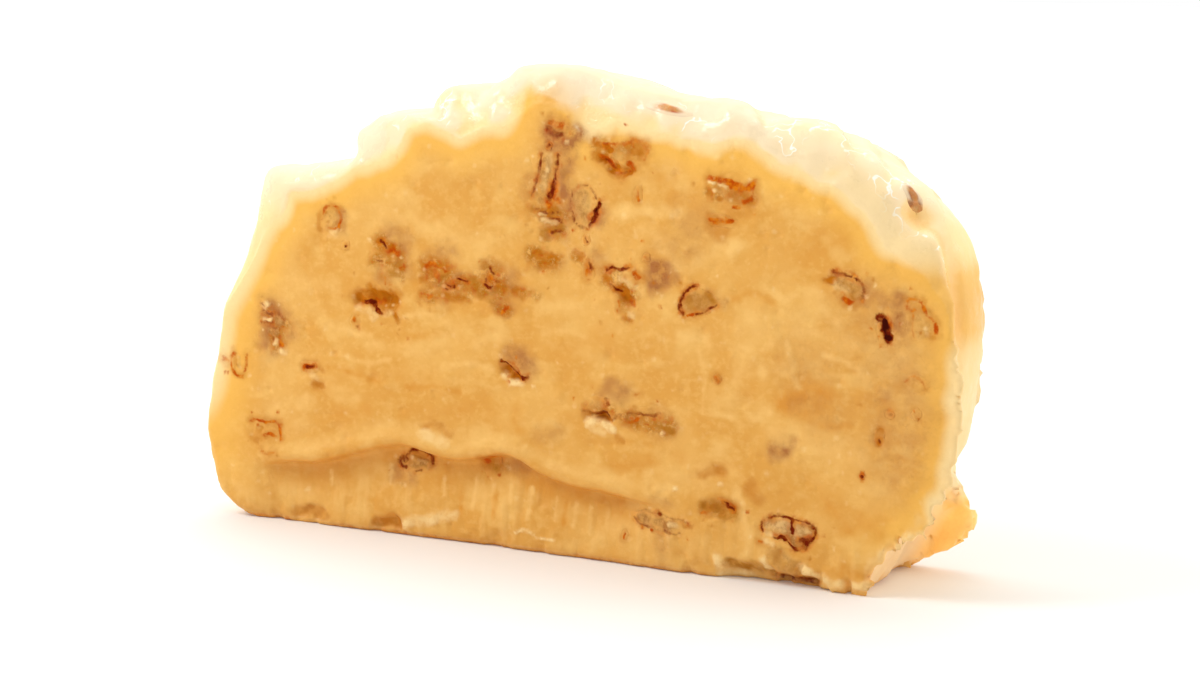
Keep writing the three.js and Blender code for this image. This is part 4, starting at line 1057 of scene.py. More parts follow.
def surface_of(field, lattice):
    """Vertices and four-sided faces of the zero surface of a field."""
    inside = field < 0
    cells = tuple(n - 1 for n in field.shape)
    corners = [(i, j, k) for i in (0, 1) for j in (0, 1) for k in (0, 1)]
    count = np.zeros(cells, np.int8)
    for i, j, k in corners:
        count += inside[i:i + cells[0], j:j + cells[1], k:k + cells[2]]
    active = np.nonzero((count > 0) & (count < 8))
    base = np.stack(active, 1)
    total = np.zeros((len(base), 3))
    hits = np.zeros(len(base))
    for a in corners:
        for axis in range(3):
            if a[axis] == 1:
                continue
            b = tuple(v + (n == axis) for n, v in enumerate(a))
            fa = field[active[0] + a[0], active[1] + a[1], active[2] + a[2]]
            fb = field[active[0] + b[0], active[1] + b[1], active[2] + b[2]]
            cross = (fa < 0) != (fb < 0)
            t = np.where(cross, fa / np.where(cross, fa - fb, 1), 0)
            point = np.array(a) + t[:, None] * (np.array(b) - np.array(a))
            total += np.where(cross[:, None], point, 0)
            hits += cross
    vertices = (base + total / hits[:, None]) * lattice.steps + lattice.origin
    number = np.full(cells, -1, np.int64)
    number[active] = np.arange(len(base))
    faces = []
    for axis in range(3):
        u, v = [n for n in range(3) if n != axis]
        low = np.take(inside, range(field.shape[axis] - 1), axis)
        high = np.take(inside, range(1, field.shape[axis]), axis)
        place = np.stack(np.nonzero(low != high), 1)
        starts_inside = low[tuple(place.T)]
        ring = []
        for du, dv in ((1, 1), (0, 1), (0, 0), (1, 0)):
            cell = place.copy()
            cell[:, u] -= du
            cell[:, v] -= dv
            ring.append(number[tuple(cell.T)])
        quad = np.stack(ring, 1)
        turn = starts_inside if axis != 1 else ~starts_inside
        quad[~turn] = quad[~turn][:, ::-1]
        faces.append(quad)
    return vertices, np.vstack(faces)


def vertex_normals(vertices, faces):
    """Smooth outward normals of a mesh of four-sided faces."""
    a, b, c, d = (vertices[faces[:, n]] for n in range(4))
    flat = np.cross(c - a, d - b)
    normals = np.zeros(vertices.shape)
    for n in range(4):
        np.add.at(normals, faces[:, n], flat)
    return normals / np.maximum(np.linalg.norm(normals, axis=1, keepdims=True), 1e-9)


def layer_values(points):
    """Distance to the outline at any points."""
    lattice, _, _ = slice_parts()
    layers = outline_layers()
    place = np.interp(points[:, 1] - FRONT_Y, LAYER_DEPTHS, np.arange(len(LAYER_DEPTHS)))
    low = np.minimum(place.astype(int), len(LAYER_DEPTHS) - 2)
    value = np.zeros(len(points))
    for n in range(len(LAYER_DEPTHS) - 1):
        pick = low == n
        near = lattice.sample(layers[n], points[pick, 0], points[pick, 2])
        far = lattice.sample(layers[n + 1], points[pick, 0], points[pick, 2])
        value[pick] = near + (far - near) * (place[pick] - n)
    return value


def set_values(mesh, values):
    for key, numbers in values.items():
        layer = mesh.attributes.new(key, "FLOAT", "POINT")
        layer.data.foreach_set("value", np.asarray(numbers, np.float32))


def make_object(name, vertices, faces, material, values=None):
    """A smooth mesh object from points in millimetres, with values on its points."""
    mesh = bpy.data.meshes.new(name)
    mesh.from_pydata((np.asarray(vertices) * MM).tolist(), [], np.asarray(faces).tolist())
    set_values(mesh, values or {})
    mesh.shade_smooth()
    mesh.materials.append(material)
    piece = bpy.data.objects.new(name, mesh)
    bpy.context.scene.collection.objects.link(piece)
    return piece


def mesh_points(mesh):
    points = np.empty(len(mesh.vertices) * 3, np.float32)
    mesh.vertices.foreach_get("co", points)
    return points.reshape(-1, 3).astype(float) / MM


def thin_out(piece, keep_share, weights):
    """Fewer triangles where the weights are high, with the modifier's result kept as the mesh."""
    group = piece.vertex_groups.new(name="thin")
    for level in np.unique(weights):
        group.add(np.nonzero(weights == level)[0].tolist(), float(level), "REPLACE")
    modifier = piece.modifiers.new("thin", "DECIMATE")
    modifier.ratio = keep_share
    modifier.vertex_group = group.name
    modifier.use_collapse_triangulate = True
    graph = bpy.context.evaluated_depsgraph_get()
    thinned = bpy.data.meshes.new_from_object(piece.evaluated_get(graph))
    piece.modifiers.clear()
    piece.vertex_groups.clear()
    old = piece.data
    piece.data = thinned
    bpy.data.meshes.remove(old)


def edge_glow(distance, x, z):
    """How strongly light comes through near the edge of a cut, more so at the left end and away from the foot."""
    end = ease(-x, 44, 58)
    reach = EDGE_REACH + END_REACH * end
    above_foot = ease(z, 2 - 8 * end, 14 + 8 * end)
    peak = 0.6 * bell(x + 2.6, 3.6) * ease(z, 57, 62)
    shoulder = 0.4 * ease(x, 48, 54) * bell(z - 41.5, 5)
    return (1 - ease(-distance / reach, 0, 1)) * above_foot * (1 - np.maximum(peak, shoulder))


def dryness(values):
    """How dull the marks at each point are."""
    return np.max([share * values[kind] for kind, share in MARK_DRYNESS.items()], 0)


def body_values(points):
    """What the fudge's finish reads at each point: cut or outside, the marks, and the painted shade and glow."""
    _, front, back = slice_parts()
    x, y, z = points.T
    distance = layer_values(points)
    depth = np.minimum(y - FRONT_Y, BACK_Y - y)
    torn = ease(x - 0.55 * z, 44, 50) * (1 - ease(z, 15, 19)) * ease(y - FRONT_Y, SKIRT_START - 2, SKIRT_START)
    column = ease(x, 44, 50) * (1 - ease(z, 15, 21))
    peak = bell(x + 3, 3) * ease(z, 58, 63)
    high = ease(z, 45, 54) * (1 - 0.65 * ease(x, 40, 47))
    rim = (1 - ease(depth, 0.3, 4.2 - 1.8 * high)) * (0.9 - (0.65 - 0.35 * peak) * high)
    foot = 1 - ease(z, 0.4, 1.6)
    left = 0.9 * ease(-x, 40, 50) * (1 - ease(z, 47, 53))
    side = 0.85 * ease(x, 54, 59) * (1 - ease(z, 56, 65)) * ease(y - FRONT_Y, 2.5, 5.5)
    # Painted shade: the dimple, the upright crease in the right side and the folds of the crown are painted in the
    # darker golden cut colour, where shade falls in them.
    hollow = np.maximum(bell(np.linalg.norm(points - DIMPLE, axis=1), DIMPLE_RADIUS), side_crease(x, y - FRONT_Y, z))
    crown = ease(z, 42, 50) * ease(depth, 1, 3)
    folds = crown * sum(bell(past - 0.4, 0.9) for past, _, _ in past_folds(x, y))
    shares = [1 - ease(distance, -0.9, -0.2), rim, 0.95 * torn, 0.45 * column, foot, 0.8 * hollow, left, side, 0.4 * folds]
    # The edge value paints light coming through near the edges of the cut and over the torn flange.
    values = {"cut": np.minimum(np.max(shares, 0), 1), "edge": np.maximum(edge_glow(distance, x, z), (0.8 + 0.2 * ease(x - 0.2 * z, 53, 59)) * torn)}
    values["warm"] = 0.25 * ease(x, 15, 50) + 0.35 * ease(x, 54, 60)
    # Painted glow: how strongly the surface gives off light of its own colour, for light coming through the thin torn
    # flange, and to lighten the dimple, the side crease, the lower right column and the crown where they lie in shade.
    values["painted_glow"] = np.max([0.36 * torn, 0.16 * hollow, 0.1 * column * ease(depth, 0.3, 1), 0.07 * crown + 0.07 * crown * ease(x, 30, 45)], 0)
    far = 2 + 2.5 * ease(x, 25, 40)
    values["wet"] = ease(z, 40, 48) * ease(depth, 0.1, 0.7) * (1 - ease(depth, far, 2 * far))
    near = 1 - ease(depth, 3, 5)
    for kind in PAINT_KINDS:
        values[kind] = near * np.where(y < 0, front.at(front.paint[kind], x, z), back.at(back.paint[kind], x, z))
    # Deep gold is painted into the dimple and the side crease as painted shade, and over the torn flange, less of it
    # towards the flange's outer edge.
    values["gold"] = np.max([values["gold"], 0.3 * hollow, 0.3 * torn * (1 - ease(x - 0.2 * z, 52, 60))], 0)
    values["dry"] = dryness(values)
    return values


# Finishes


class Finish:
    """A node material being built up around one Principled shader."""

    def __init__(self, name):
        self.material = bpy.data.materials.new(name)
        self.material.use_nodes = True
        self.tree = self.material.node_tree
        self.shader = self.tree.nodes["Principled BSDF"]

    def node(self, kind, **settings):
        made = self.tree.nodes.new(kind)
        for key, value in settings.items():
            setattr(made, key, value)
        return made

    def put(self, socket, value):
        if isinstance(value, bpy.types.NodeSocket):
            self.tree.links.new(value, socket)
        else:
            socket.default_value = value

    def value(self, name):
        return self.node("ShaderNodeAttribute", attribute_name=name).outputs["Fac"]

    def place(self, stretch=(1, 1, 1)):
        coordinates = self.node("ShaderNodeTexCoord").outputs["Object"]
        mapping = self.node("ShaderNodeMapping")
        mapping.inputs["Scale"].default_value = stretch
        self.put(mapping.inputs["Vector"], coordinates)
        return mapping.outputs["Vector"]

    def grain(self, size_mm, detail=3.0, roughness=0.55, stretch=(1, 1, 1)):
        made = self.node("ShaderNodeTexNoise")
        made.inputs["Scale"].default_value = 1 / (size_mm * MM)
        made.inputs["Detail"].default_value = detail
        made.inputs["Roughness"].default_value = roughness
        self.put(made.inputs["Vector"], self.place(stretch))
        return made.outputs["Fac"]

    def span(self, value, start, end, low=0.0, high=1.0):
        made = self.node("ShaderNodeMapRange", interpolation_type="SMOOTHSTEP")
        for socket, setting in zip(made.inputs[:5], (value, start, end, low, high)):
            self.put(socket, setting)
        return made.outputs["Result"]

    def times(self, a, b, operation="MULTIPLY"):
        made = self.node("ShaderNodeMath", operation=operation)
        self.put(made.inputs[0], a)
        self.put(made.inputs[1], b)
        return made.outputs[0]

    def mix(self, share, a, b):
        made = self.node("ShaderNodeMix", data_type="RGBA")
        self.put(made.inputs[0], share)
        self.put(made.inputs[6], a)
        self.put(made.inputs[7], b)
        return made.outputs[2]

    def blend(self, share, a, b):
        made = self.node("ShaderNodeMix")
        self.put(made.inputs[0], share)
        self.put(made.inputs[2], a)
        self.put(made.inputs[3], b)
        return made.outputs[0]

    def ramp(self, value, shades):
        made = self.node("ShaderNodeValToRGB")
        stops = made.color_ramp.elements
        stops.remove(stops[0])
        for number, (place, colour) in enumerate(shades):
            stop = stops[0] if number == 0 else stops.new(place)
            stop.position = place
            stop.color = rgba(colour)
        self.put(made.inputs["Fac"], value)
        return made.outputs["Color"]

    def bump(self, height, strength, distance_mm):
        made = self.node("ShaderNodeBump")
        made.inputs["Strength"].default_value = strength
        made.inputs["Distance"].default_value = distance_mm * MM
        self.put(made.inputs["Height"], height)
        self.put(self.shader.inputs["Normal"], made.outputs["Normal"])


def rgba(colour):
    return (*colour, 1.0)


def golden_cut(made, colours):
    """The cloudy gold of cut fudge, glowing where it thins out towards an edge."""
    clouds = made.span(made.grain(11, 4, 0.55), 0.38, 0.64)
    golden = made.mix(clouds, rgba(colours.cut_deep), rgba(colours.cut))
    for size, stretch, share in ((6, (0.8, 1, 1.3), 0.6), (2.4, (1, 1, 1.15), 0.35), (0.9, (0.8, 1, 1), 0.3)):
        smears = made.span(made.grain(size, 3, 0.55, stretch), 0.5, 0.7, 0, share)
        golden = made.mix(smears, golden, rgba(colours.cut_pale))
    edge = made.value("edge")
    golden = made.mix(made.span(edge, 0.05, 0.85, 0, 0.9), golden, rgba(colours.edge))
    return made.mix(made.span(edge, 0.75, 1.0, 0, 0.9), golden, rgba(colours.edge_thin))


# The marks in the order they are laid over the gold, with the grain that breaks each one up, in millimetres
PAINT_ORDER = (
    ("gold", 3), ("cream", 2.4), ("mauve", 2.2), ("crumble", 1.8), ("flesh", 1.2), ("olive", 1.4), ("amber", 2),
    ("pale", 0.8), ("rust", 0.8), ("red", 1.5),
)


CRISP_KINDS = ("rust", "red")


def crumbled(made, colours):
    """Nut crumbs of all shades, from dark skin to pale flesh, mixed into fudge."""
    shades = (
        (0.3, colours.dust), (0.38, colours.rust), (0.45, colours.amber), (0.52, colours.olive), (0.58, colours.flesh),
        (0.64, colours.cut),
    )
    return made.ramp(made.grain(1.2, 5, 0.7), shades)


def painted(made, shade, colours):
    """The marks of the cut over a shade, the softest first, with dust of nut skin in the stains."""
    jagged = made.span(made.grain(0.55, 3, 0.6), 0.3, 0.7, -0.07, 0.07)
    for kind, size in PAINT_ORDER:
        broken = made.span(made.grain(size, 3, 0.6), 0.3, 0.58, 0.62, 1.25)
        if kind == "crumble":
            colour = crumbled(made, colours)
        elif kind == "flesh":
            grain = made.span(made.grain(0.8, 4, 0.65), 0.4, 0.62)
            colour = made.mix(grain, rgba(colours.flesh_dark), rgba(colours.flesh))
        elif kind == "rust":
            grain = made.span(made.grain(1.1, 3, 0.5), 0.4, 0.68)
            colour = made.mix(grain, rgba(colours.rust), rgba(colours.rust_thin))
        elif kind == "red":
            grain = made.span(made.grain(0.6, 4, 0.6), 0.45, 0.68)
            colour = made.mix(grain, rgba(colours.red), rgba(colours.red_thin))
            colour = made.mix(made.span(made.value(kind), 1.0, 1.4), colour, rgba(colours.red_deep))
        else:
            colour = rgba(getattr(colours, kind))
        share = made.times(made.value(kind), broken)
        if kind in CRISP_KINDS:
            share = made.span(made.times(share, jagged, "ADD"), 0.0, 0.9)
        shade = made.mix(share, shade, colour)
        if kind == "mauve":
            dust = made.times(made.span(made.grain(0.7, 2, 0.5), 0.56, 0.72, 0, 0.45), made.value(kind))
            shade = made.mix(dust, shade, rgba(colours.dust))
    return shade


def dull_marks(made):
    """Gloss of the cut, which the dry nut skins don't have."""
    return made.span(made.value("dry"), 0.05, 0.6, 0.18, 0.02)


@functools.lru_cache(maxsize=None)
def fudge_finish(name, glows):
    """Golden cloudy cut fudge, paler and wetter on the uncut outside, with painted highlights as glints on the crown's
    wet rim and, where it glows, a painted glow.
    """
    colours = bpy.context.scene.fudge_colours
    made = Finish(name)
    cut = made.value("cut")
    golden = painted(made, golden_cut(made, colours), colours)
    patches = made.span(made.times(made.grain(12, 4), made.value("warm"), "ADD"), 0.4, 1.1)
    outside = made.mix(patches, rgba(colours.outside), rgba(colours.outside_warm))
    # Painted highlights: thin white loops painted into the base colour on the wet, uncut rim of the crown, as glints of
    # light. The same wet value also makes that rim glossier.
    wet = made.times(made.value("wet"), made.span(made.grain(2.2, 3), 0.48, 0.64))
    loops = made.grain(2.6, 2, 0.4)
    line = made.times(made.span(loops, 0.475, 0.495), made.span(loops, 0.505, 0.525, 1, 0))
    uncut = made.times(made.value("wet"), made.span(cut, 0.3, 0.8, 0.85, 0))
    glints = made.times(made.times(line, made.span(made.grain(6, 2), 0.52, 0.6)), uncut)
    shade = made.mix(glints, made.mix(cut, outside, golden), rgba(colours.glint))
    made.put(made.shader.inputs["Base Color"], shade)
    dull = made.span(made.grain(1.6, 3), 0.3, 0.7, 0.34, 0.56)
    made.put(made.shader.inputs["Roughness"], made.blend(wet, dull, 0.09))
    made.put(made.shader.inputs["Specular IOR Level"], made.blend(wet, made.blend(cut, 0.1, dull_marks(made)), 0.5))
    # Painted glow: the fudge gives off light of its own colour where the painted glow value is set, though it is no
    # lamp.
    if glows:
        made.put(made.shader.inputs["Emission Color"], shade)
        made.put(made.shader.inputs["Emission Strength"], made.value("painted_glow"))
    made.bump(made.blend(cut, made.grain(2.2, 3, 0.5), made.grain(0.6, 4, 0.6)), 0.4, 0.25)
    return made.material


@functools.lru_cache(maxsize=None)
def pecan_finish():
    """Chopped pecan under a thin film of fudge, with its skin and flesh as marks."""
    colours = bpy.context.scene.fudge_colours
    made = Finish("pecan")
    made.put(made.shader.inputs["Base Color"], painted(made, golden_cut(made, colours), colours))
    made.put(made.shader.inputs["Roughness"], made.span(made.grain(0.7, 3), 0.3, 0.7, 0.34, 0.58))
    made.put(made.shader.inputs["Specular IOR Level"], dull_marks(made))
    made.bump(made.grain(0.4, 4, 0.65), 0.4, 0.2)
    return made.material


# Pecan pieces

SEAT_DEPTH = 0.4
FILM = 0.035
RIM_DIP = 0.11
FACE_REACH = 1.1
PATCH_STEP = 0.15
BACK_RINGS = ((1.07, 0.6), (1.0, 1.2), (0.8, 1.9), (0.5, 2.4), (0.2, 2.6))


# How dark each pecan sunk in the crown is
SUNK_DARKNESS = {"pecan_crown_1": 0.3, "pecan_crown_2": 0.9}


def patch_shape(spot, surface_at, step):
    """A lobed patch on a surface, closed behind by a rounded back: places, depths and faces."""
    mean = float(spot.half.mean())
    segments = int(np.clip(2 * np.pi * mean / step, 28, 180))
    rings = int(np.clip(mean / step, 6, 48))
    angle = np.arange(segments) / segments * 2 * np.pi
    share = np.concatenate([np.arange(1, rings + 1) / rings * FACE_REACH, [ring[0] for ring in BACK_RINGS]])
    behind = np.concatenate([np.zeros(rings), [ring[1] for ring in BACK_RINGS]])
    share, angle = np.meshgrid(share, angle, indexing="ij")
    x, z = (np.append(v.ravel(), (c, c)) for v, c in zip(spot.places(share, angle), spot.centre))
    share = np.append(share.ravel(), (0, 0))
    thick = min(1.0, 0.35 * mean)
    behind = np.append(np.repeat(behind, segments), (0, BACK_RINGS[-1][1] + 0.2)) * thick
    depth = surface_at(x, z) - FILM + RIM_DIP * ease(share, 0.8, FACE_REACH) + behind
    return x, z, depth, ring_faces(rings + len(BACK_RINGS), segments)


def ring_faces(rings, segments):
    """Triangles of a closed stack of rings, whose two end points come last."""
    ids = np.arange(rings * segments).reshape(rings, segments)
    nxt = np.roll(ids, -1, axis=1)
    a, b, c, d = ids[:-1].ravel(), nxt[:-1].ravel(), nxt[1:].ravel(), ids[1:].ravel()
    near, far = rings * segments, rings * segments + 1
    start = np.stack([np.full(segments, near), nxt[0], ids[0]], 1)
    end = np.stack([np.full(segments, far), ids[-1], nxt[-1]], 1)
    return np.vstack([np.stack([a, b, c], 1), np.stack([a, c, d], 1), start, end])


def outward(points, faces):
    """The faces, turned over if the closed shape is inside out."""
    a, b, c = (points[faces[:, n]] - points.mean(0) for n in range(3))
    volume = np.einsum("ij,ij->i", a, np.cross(b, c)).sum()
    return faces if volume > 0 else faces[:, ::-1]


def face_patch(face, spot, step):
    """A patch of pecan set in a cut face: points, faces and values of its marks."""

    def surface_at(x, z):
        lumps = 0.1 * rough_noise(x, 2, z, 1.5, spot.seed + 4)
        return face.at(face.open, x, z) + lumps

    x, z, depth, faces = patch_shape(spot, surface_at, step)
    y = FRONT_Y + depth if face.side < 0 else BACK_Y - depth
    points = np.stack([x, y, z], 1)
    values = {kind: face.at(face.paint[kind], x, z) for kind in PAINT_KINDS}
    values["edge"] = edge_glow(layer_values(points), x, z)
    values["dry"] = dryness(values)
    return points, outward(points, faces), values


def set_role(piece, node=None):
    """Hides the solid that a piece stands for, if any, and hangs the piece under the root body."""
    if node:
        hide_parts(node)
    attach(piece, "root")


# Settings


class FudgeSizes(bpy.types.PropertyGroup):
    lattice_step: FloatProperty(
        name="Surface step", description="Spacing of the points that the surface is found on",
        default=0.35 * MM, min=0.2 * MM, unit="LENGTH",
    )
    lattice_step_deep: FloatProperty(
        name="Surface step in depth", description="Spacing of those points from front to back",
        default=0.5 * MM, min=0.2 * MM, unit="LENGTH",
    )
    paint_step: FloatProperty(
        name="Mark step", description="Spacing of the places that hold the marks of the cut",
        default=0.12 * MM, min=0.05 * MM, unit="LENGTH",
    )
    edge_radius: FloatProperty(
        name="Edge rounding", description="Rounding where a cut meets the outside",
        default=1.1 * MM, min=0.1 * MM, unit="LENGTH",
    )
    ledge_depth: FloatProperty(
        name="Ledge depth", description="How far the foot of the shown cut lies behind the rest",
        default=2.0 * MM, min=0.0, unit="LENGTH",
    )
    kept_share: FloatProperty(
        name="Kept share", description="Share of the surface's triangles that is kept", default=0.46, min=0.1, max=1.0,
    )


def colour_setting(name, description, default):
    return FloatVectorProperty(name=name, description=description, default=default, size=3, subtype="COLOR", min=0, max=1)


class FudgeColours(bpy.types.PropertyGroup):
    # Cut fudge. The same colour is also painted as shade into the folds of the crown, the dimple and the side crease.
    cut: colour_setting("Cut", "Cut fudge", (0.82, 0.435, 0.1))
    cut_deep: colour_setting("Cut, deep", "Darker clouds in the cut", (0.76, 0.365, 0.066))
    cut_pale: colour_setting("Cut, pale", "Pale smears in the cut", (0.9, 0.54, 0.155))
    edge: colour_setting("Cut, near an edge", "Light coming through near an edge", (0.93, 0.5, 0.09))
    edge_thin: colour_setting("Cut, at an edge", "Light coming through at an edge", (0.98, 0.74, 0.36))
    outside: colour_setting("Outside", "Uncut outside", (0.93, 0.765, 0.53))
    outside_warm: colour_setting("Outside, warm", "Warmer patches outside", (0.93, 0.71, 0.4))
    # Colour of the painted highlights: the glints painted on the wet rims of the crown.
    glint: colour_setting("Glint", "Wet rims of the crown", (1.0, 0.97, 0.88))
    # Deep gold. The same colour also paints shade under the ledge, in the dimple and in the side crease.
    gold: colour_setting("Deep gold", "Denser gold in the cut", (0.73, 0.31, 0.04))
    # Creamy smears in the cut. The same colour also paints light along the rim above the ledge.
    cream: colour_setting("Cream", "Creamy smears in the cut", (0.91, 0.54, 0.16))
    # Stain of nut skins. The same colour also paints broad shade over the right part of the cut.
    mauve: colour_setting("Stain", "Fudge stained by nut skins", (0.44, 0.165, 0.045))
    dust: colour_setting("Nut dust", "Specks of nut skin in the stains", (0.36, 0.11, 0.015))
    flesh: colour_setting("Nut flesh", "Inside of a pecan", (0.6, 0.31, 0.095))
    flesh_dark: colour_setting("Nut flesh, dark", "Grain in the inside of a pecan", (0.43, 0.185, 0.045))
    # Olive pecan under fudge. The same colour also paints shade in the recess along the foot under piece 28.
    olive: colour_setting("Nut, olive", "Greenish pecan under fudge", (0.47, 0.18, 0.018))
    # Amber. The same colour also paints a touch of shadow just under the ledge.
    amber: colour_setting("Amber", "Fudge and nut with light coming through", (0.52, 0.16, 0.006))
    # Pale crumbs and lips. The same colour also paints small glints on the cut and the nuts, and the wet glint near the
    # foot, as painted highlights.
    pale: colour_setting("Crumbs", "Pale crumbs and lips", (0.96, 0.66, 0.28))
    # Thin nut skin. The same colour also paints the thin shadow line along the foot of the cut.
    rust: colour_setting("Nut skin, thin", "Thin skin of a pecan", (0.5, 0.068, 0.001))
    # Dark nut skin. The same colour also paints shade in the gap along the foot under piece 28.
    red: colour_setting("Nut skin", "Dark skin of a pecan", (0.17, 0.012, 0.001))
    rust_thin: colour_setting("Nut skin, thinnest", "Skin of a pecan with light coming through", (0.7, 0.2, 0.006))
    red_thin: colour_setting("Nut skin, worn", "Worn patches of dark skin", (0.32, 0.06, 0.004))
    red_deep: colour_setting("Nut skin, thick", "Darkest skin of a pecan", (0.05, 0.003, 0.001))


class FudgeStage(bpy.types.PropertyGroup):
    azimuth: FloatProperty(name="Azimuth", description="Camera turn towards +X", default=np.radians(28), subtype="ANGLE")
    elevation: FloatProperty(name="Elevation", description="Camera height angle", default=np.radians(8), subtype="ANGLE")
    roll: FloatProperty(name="Roll", description="Camera roll", default=np.radians(1), subtype="ANGLE")
    lens: FloatProperty(name="Lens", description="Focal length", default=90, unit="CAMERA")
    distance: FloatProperty(name="Distance", description="Camera to target", default=0.449, unit="LENGTH")
    target_height: FloatProperty(name="Target height", description="Height aimed at", default=0.0313, unit="LENGTH")
    sky_front: FloatProperty(name="Sky in front", description="White surroundings on the camera's side", default=0.4, min=0)
    sky_back: FloatProperty(name="Sky behind", description="White surroundings behind the slice", default=1.0, min=0)
    sky_top: FloatProperty(name="Sky above", description="Added towards the top", default=0.2, min=0)
    key_light: FloatProperty(name="Key light", description="Soft light above the camera", default=1.65, min=0, unit="POWER")
    top_light: FloatProperty(name="Top light", description="Soft light above and behind", default=0.8, min=0, unit="POWER")
    side_light: FloatProperty(name="Side light", description="Soft light from the right", default=0.3, min=0, unit="POWER")


# Operators


class FUDGE_OT_body(bpy.types.Operator):
    """Builds the slice itself, with its cut faces, lumpy crown and seats for the pecans"""

    bl_idname = "fudge.body"
    bl_label = "Fudge"

    def execute(self, context):
        sizes = context.scene.fudge_sizes
        lattice, _, _ = slice_parts()
        vertices, faces = surface_of(slice_field(sizes), lattice)
        normals = vertex_normals(vertices, faces)
        outside = ease(layer_values(vertices), -0.9, -0.2) * ease(vertices[:, 2], 0.5, 4)
        x, y, z = vertices.T
        lumps = 0.5 * noise(x, y, z, 13, SEED + 60) + 0.28 * noise(x, y, z, 5.5, SEED + 61)
        lumps = lumps + 0.15 * noise(x, y, z, 2.3, SEED + 62)
        lumps = lumps * outside - DIMPLE_DEPTH * bell(np.linalg.norm(vertices - DIMPLE, axis=1), DIMPLE_RADIUS)
        vertices = vertices + normals * lumps[:, None]
        vertices[:, 2] = np.maximum(vertices[:, 2], 0.0)
        piece = make_object("fudge_slice", vertices, faces, fudge_finish("fudge", True))
        thin = np.where(y > FRONT_Y + 4, np.where(y > BACK_Y - 3, 0.5, 0.4), 0.0)
        thin_out(piece, sizes.kept_share, thin)
        set_values(piece.data, body_values(mesh_points(piece.data)))
        piece.data.shade_smooth()
        set_role(piece, "fudge")
        return {"FINISHED"}


class FUDGE_OT_cut_pecans(bpy.types.Operator):
    """Sets the chopped pecans into the two cut faces"""

    bl_idname = "fudge.cut_pecans"
    bl_label = "Pecans in the cuts"

    def execute(self, context):
        _, front, back = slice_parts()
        for face, step in ((front, PATCH_STEP), (back, 1.6 * PATCH_STEP)):
            for spot in face.spots:
                points, faces, values = face_patch(face, spot, step)
                piece = make_object(f"{spot.name}_look", points, faces, pecan_finish(), values)
                set_role(piece, spot.name)
        return {"FINISHED"}


class FUDGE_OT_flecks(bpy.types.Operator):
    """Adds the small nut flecks of the shown cut as one mesh"""

    bl_idname = "fudge.flecks"
    bl_label = "Nut flecks"

    def execute(self, context):
        _, front, _ = slice_parts()
        patches = [face_patch(front, spot, PATCH_STEP) for spot in front.flecks]
        starts = np.cumsum([0] + [len(points) for points, _, _ in patches[:-1]])
        points = np.vstack([patch[0] for patch in patches])
        faces = np.vstack([patch[1] + start for patch, start in zip(patches, starts)])
        values = {key: np.concatenate([patch[2][key] for patch in patches]) for key in patches[0][2]}
        set_role(make_object("nut_flecks", points, faces, pecan_finish(), values))
        return {"FINISHED"}


class FUDGE_OT_crown_pecans(bpy.types.Operator):
    """Sinks two pecan pieces into the uncut outside"""

    bl_idname = "fudge.crown_pecans"
    bl_label = "Pecans in the crown"

    def execute(self, context):
        graph = context.evaluated_depsgraph_get()
        tree = BVHTree.FromObject(bpy.data.objects["fudge_slice"], graph)
        for node in CROWN_NODES:
            low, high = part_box(node)
            place, normal, _, _ = tree.find_nearest((low + high) / 2)
            if place is None:
                raise RuntimeError(f"{node} is not on the slice")
            self.add_pecan(tree, node, place, normal, high - low)
        return {"FINISHED"}

    def add_pecan(self, tree, node, place, normal, size):
        """A sliver of pecan that follows the surface it is sunk in."""
        across = Vector((0, 1, 0)).cross(normal).normalized()
        up = normal.cross(across).normalized()
        half = np.array([0.55 * size.length, 0.5 * size.y]) / MM
        spot = Spot(node, (0, 0), half, np.eye(2), SEED + 700 + node_number(node), 0.12)
        x, z, depth, faces = patch_shape(spot, lambda u, v: 0.2 * spot.spread(u, v) ** 2 - 0.12, PATCH_STEP)
        points = []
        for u, v, sunk in zip(x, z, depth):
            near, out, _, _ = tree.find_nearest(place + (across * u + up * v) * MM)
            points.append(near / MM - out * sunk)
        points = np.array(points)
        values = body_values(points)
        values["cut"] = np.maximum(values["cut"], 1 - ease(spot.spread(x, z), 0.3, 0.65))
        values["flesh"] = np.full(len(points), 0.5)
        dark = SUNK_DARKNESS[node]
        values["mauve"] = 0.6 * dark * ease(noise(x, 3, z * 1.5, 1.8, spot.seed), -0.3, 0.3)
        # Pale flecks on the sliver, partly painted glints.
        values["pale"] = 0.7 * ease(noise(x, 1, z * 2, 1.6, spot.seed), 0, 0.4)
        values["rust"] = 0.35 + 0.4 * ease(noise(x, 0, z * 2, 1.4, spot.seed), -0.2, 0.4)
        values["red"] = 0.45 * dark * ease(noise(x, 5, z * 2, 1.2, spot.seed), 0.1, 0.5)
        piece = make_object(f"{node}_look", points, outward(points, faces), fudge_finish("sunk_pecan", False), values)
        set_role(piece, node)


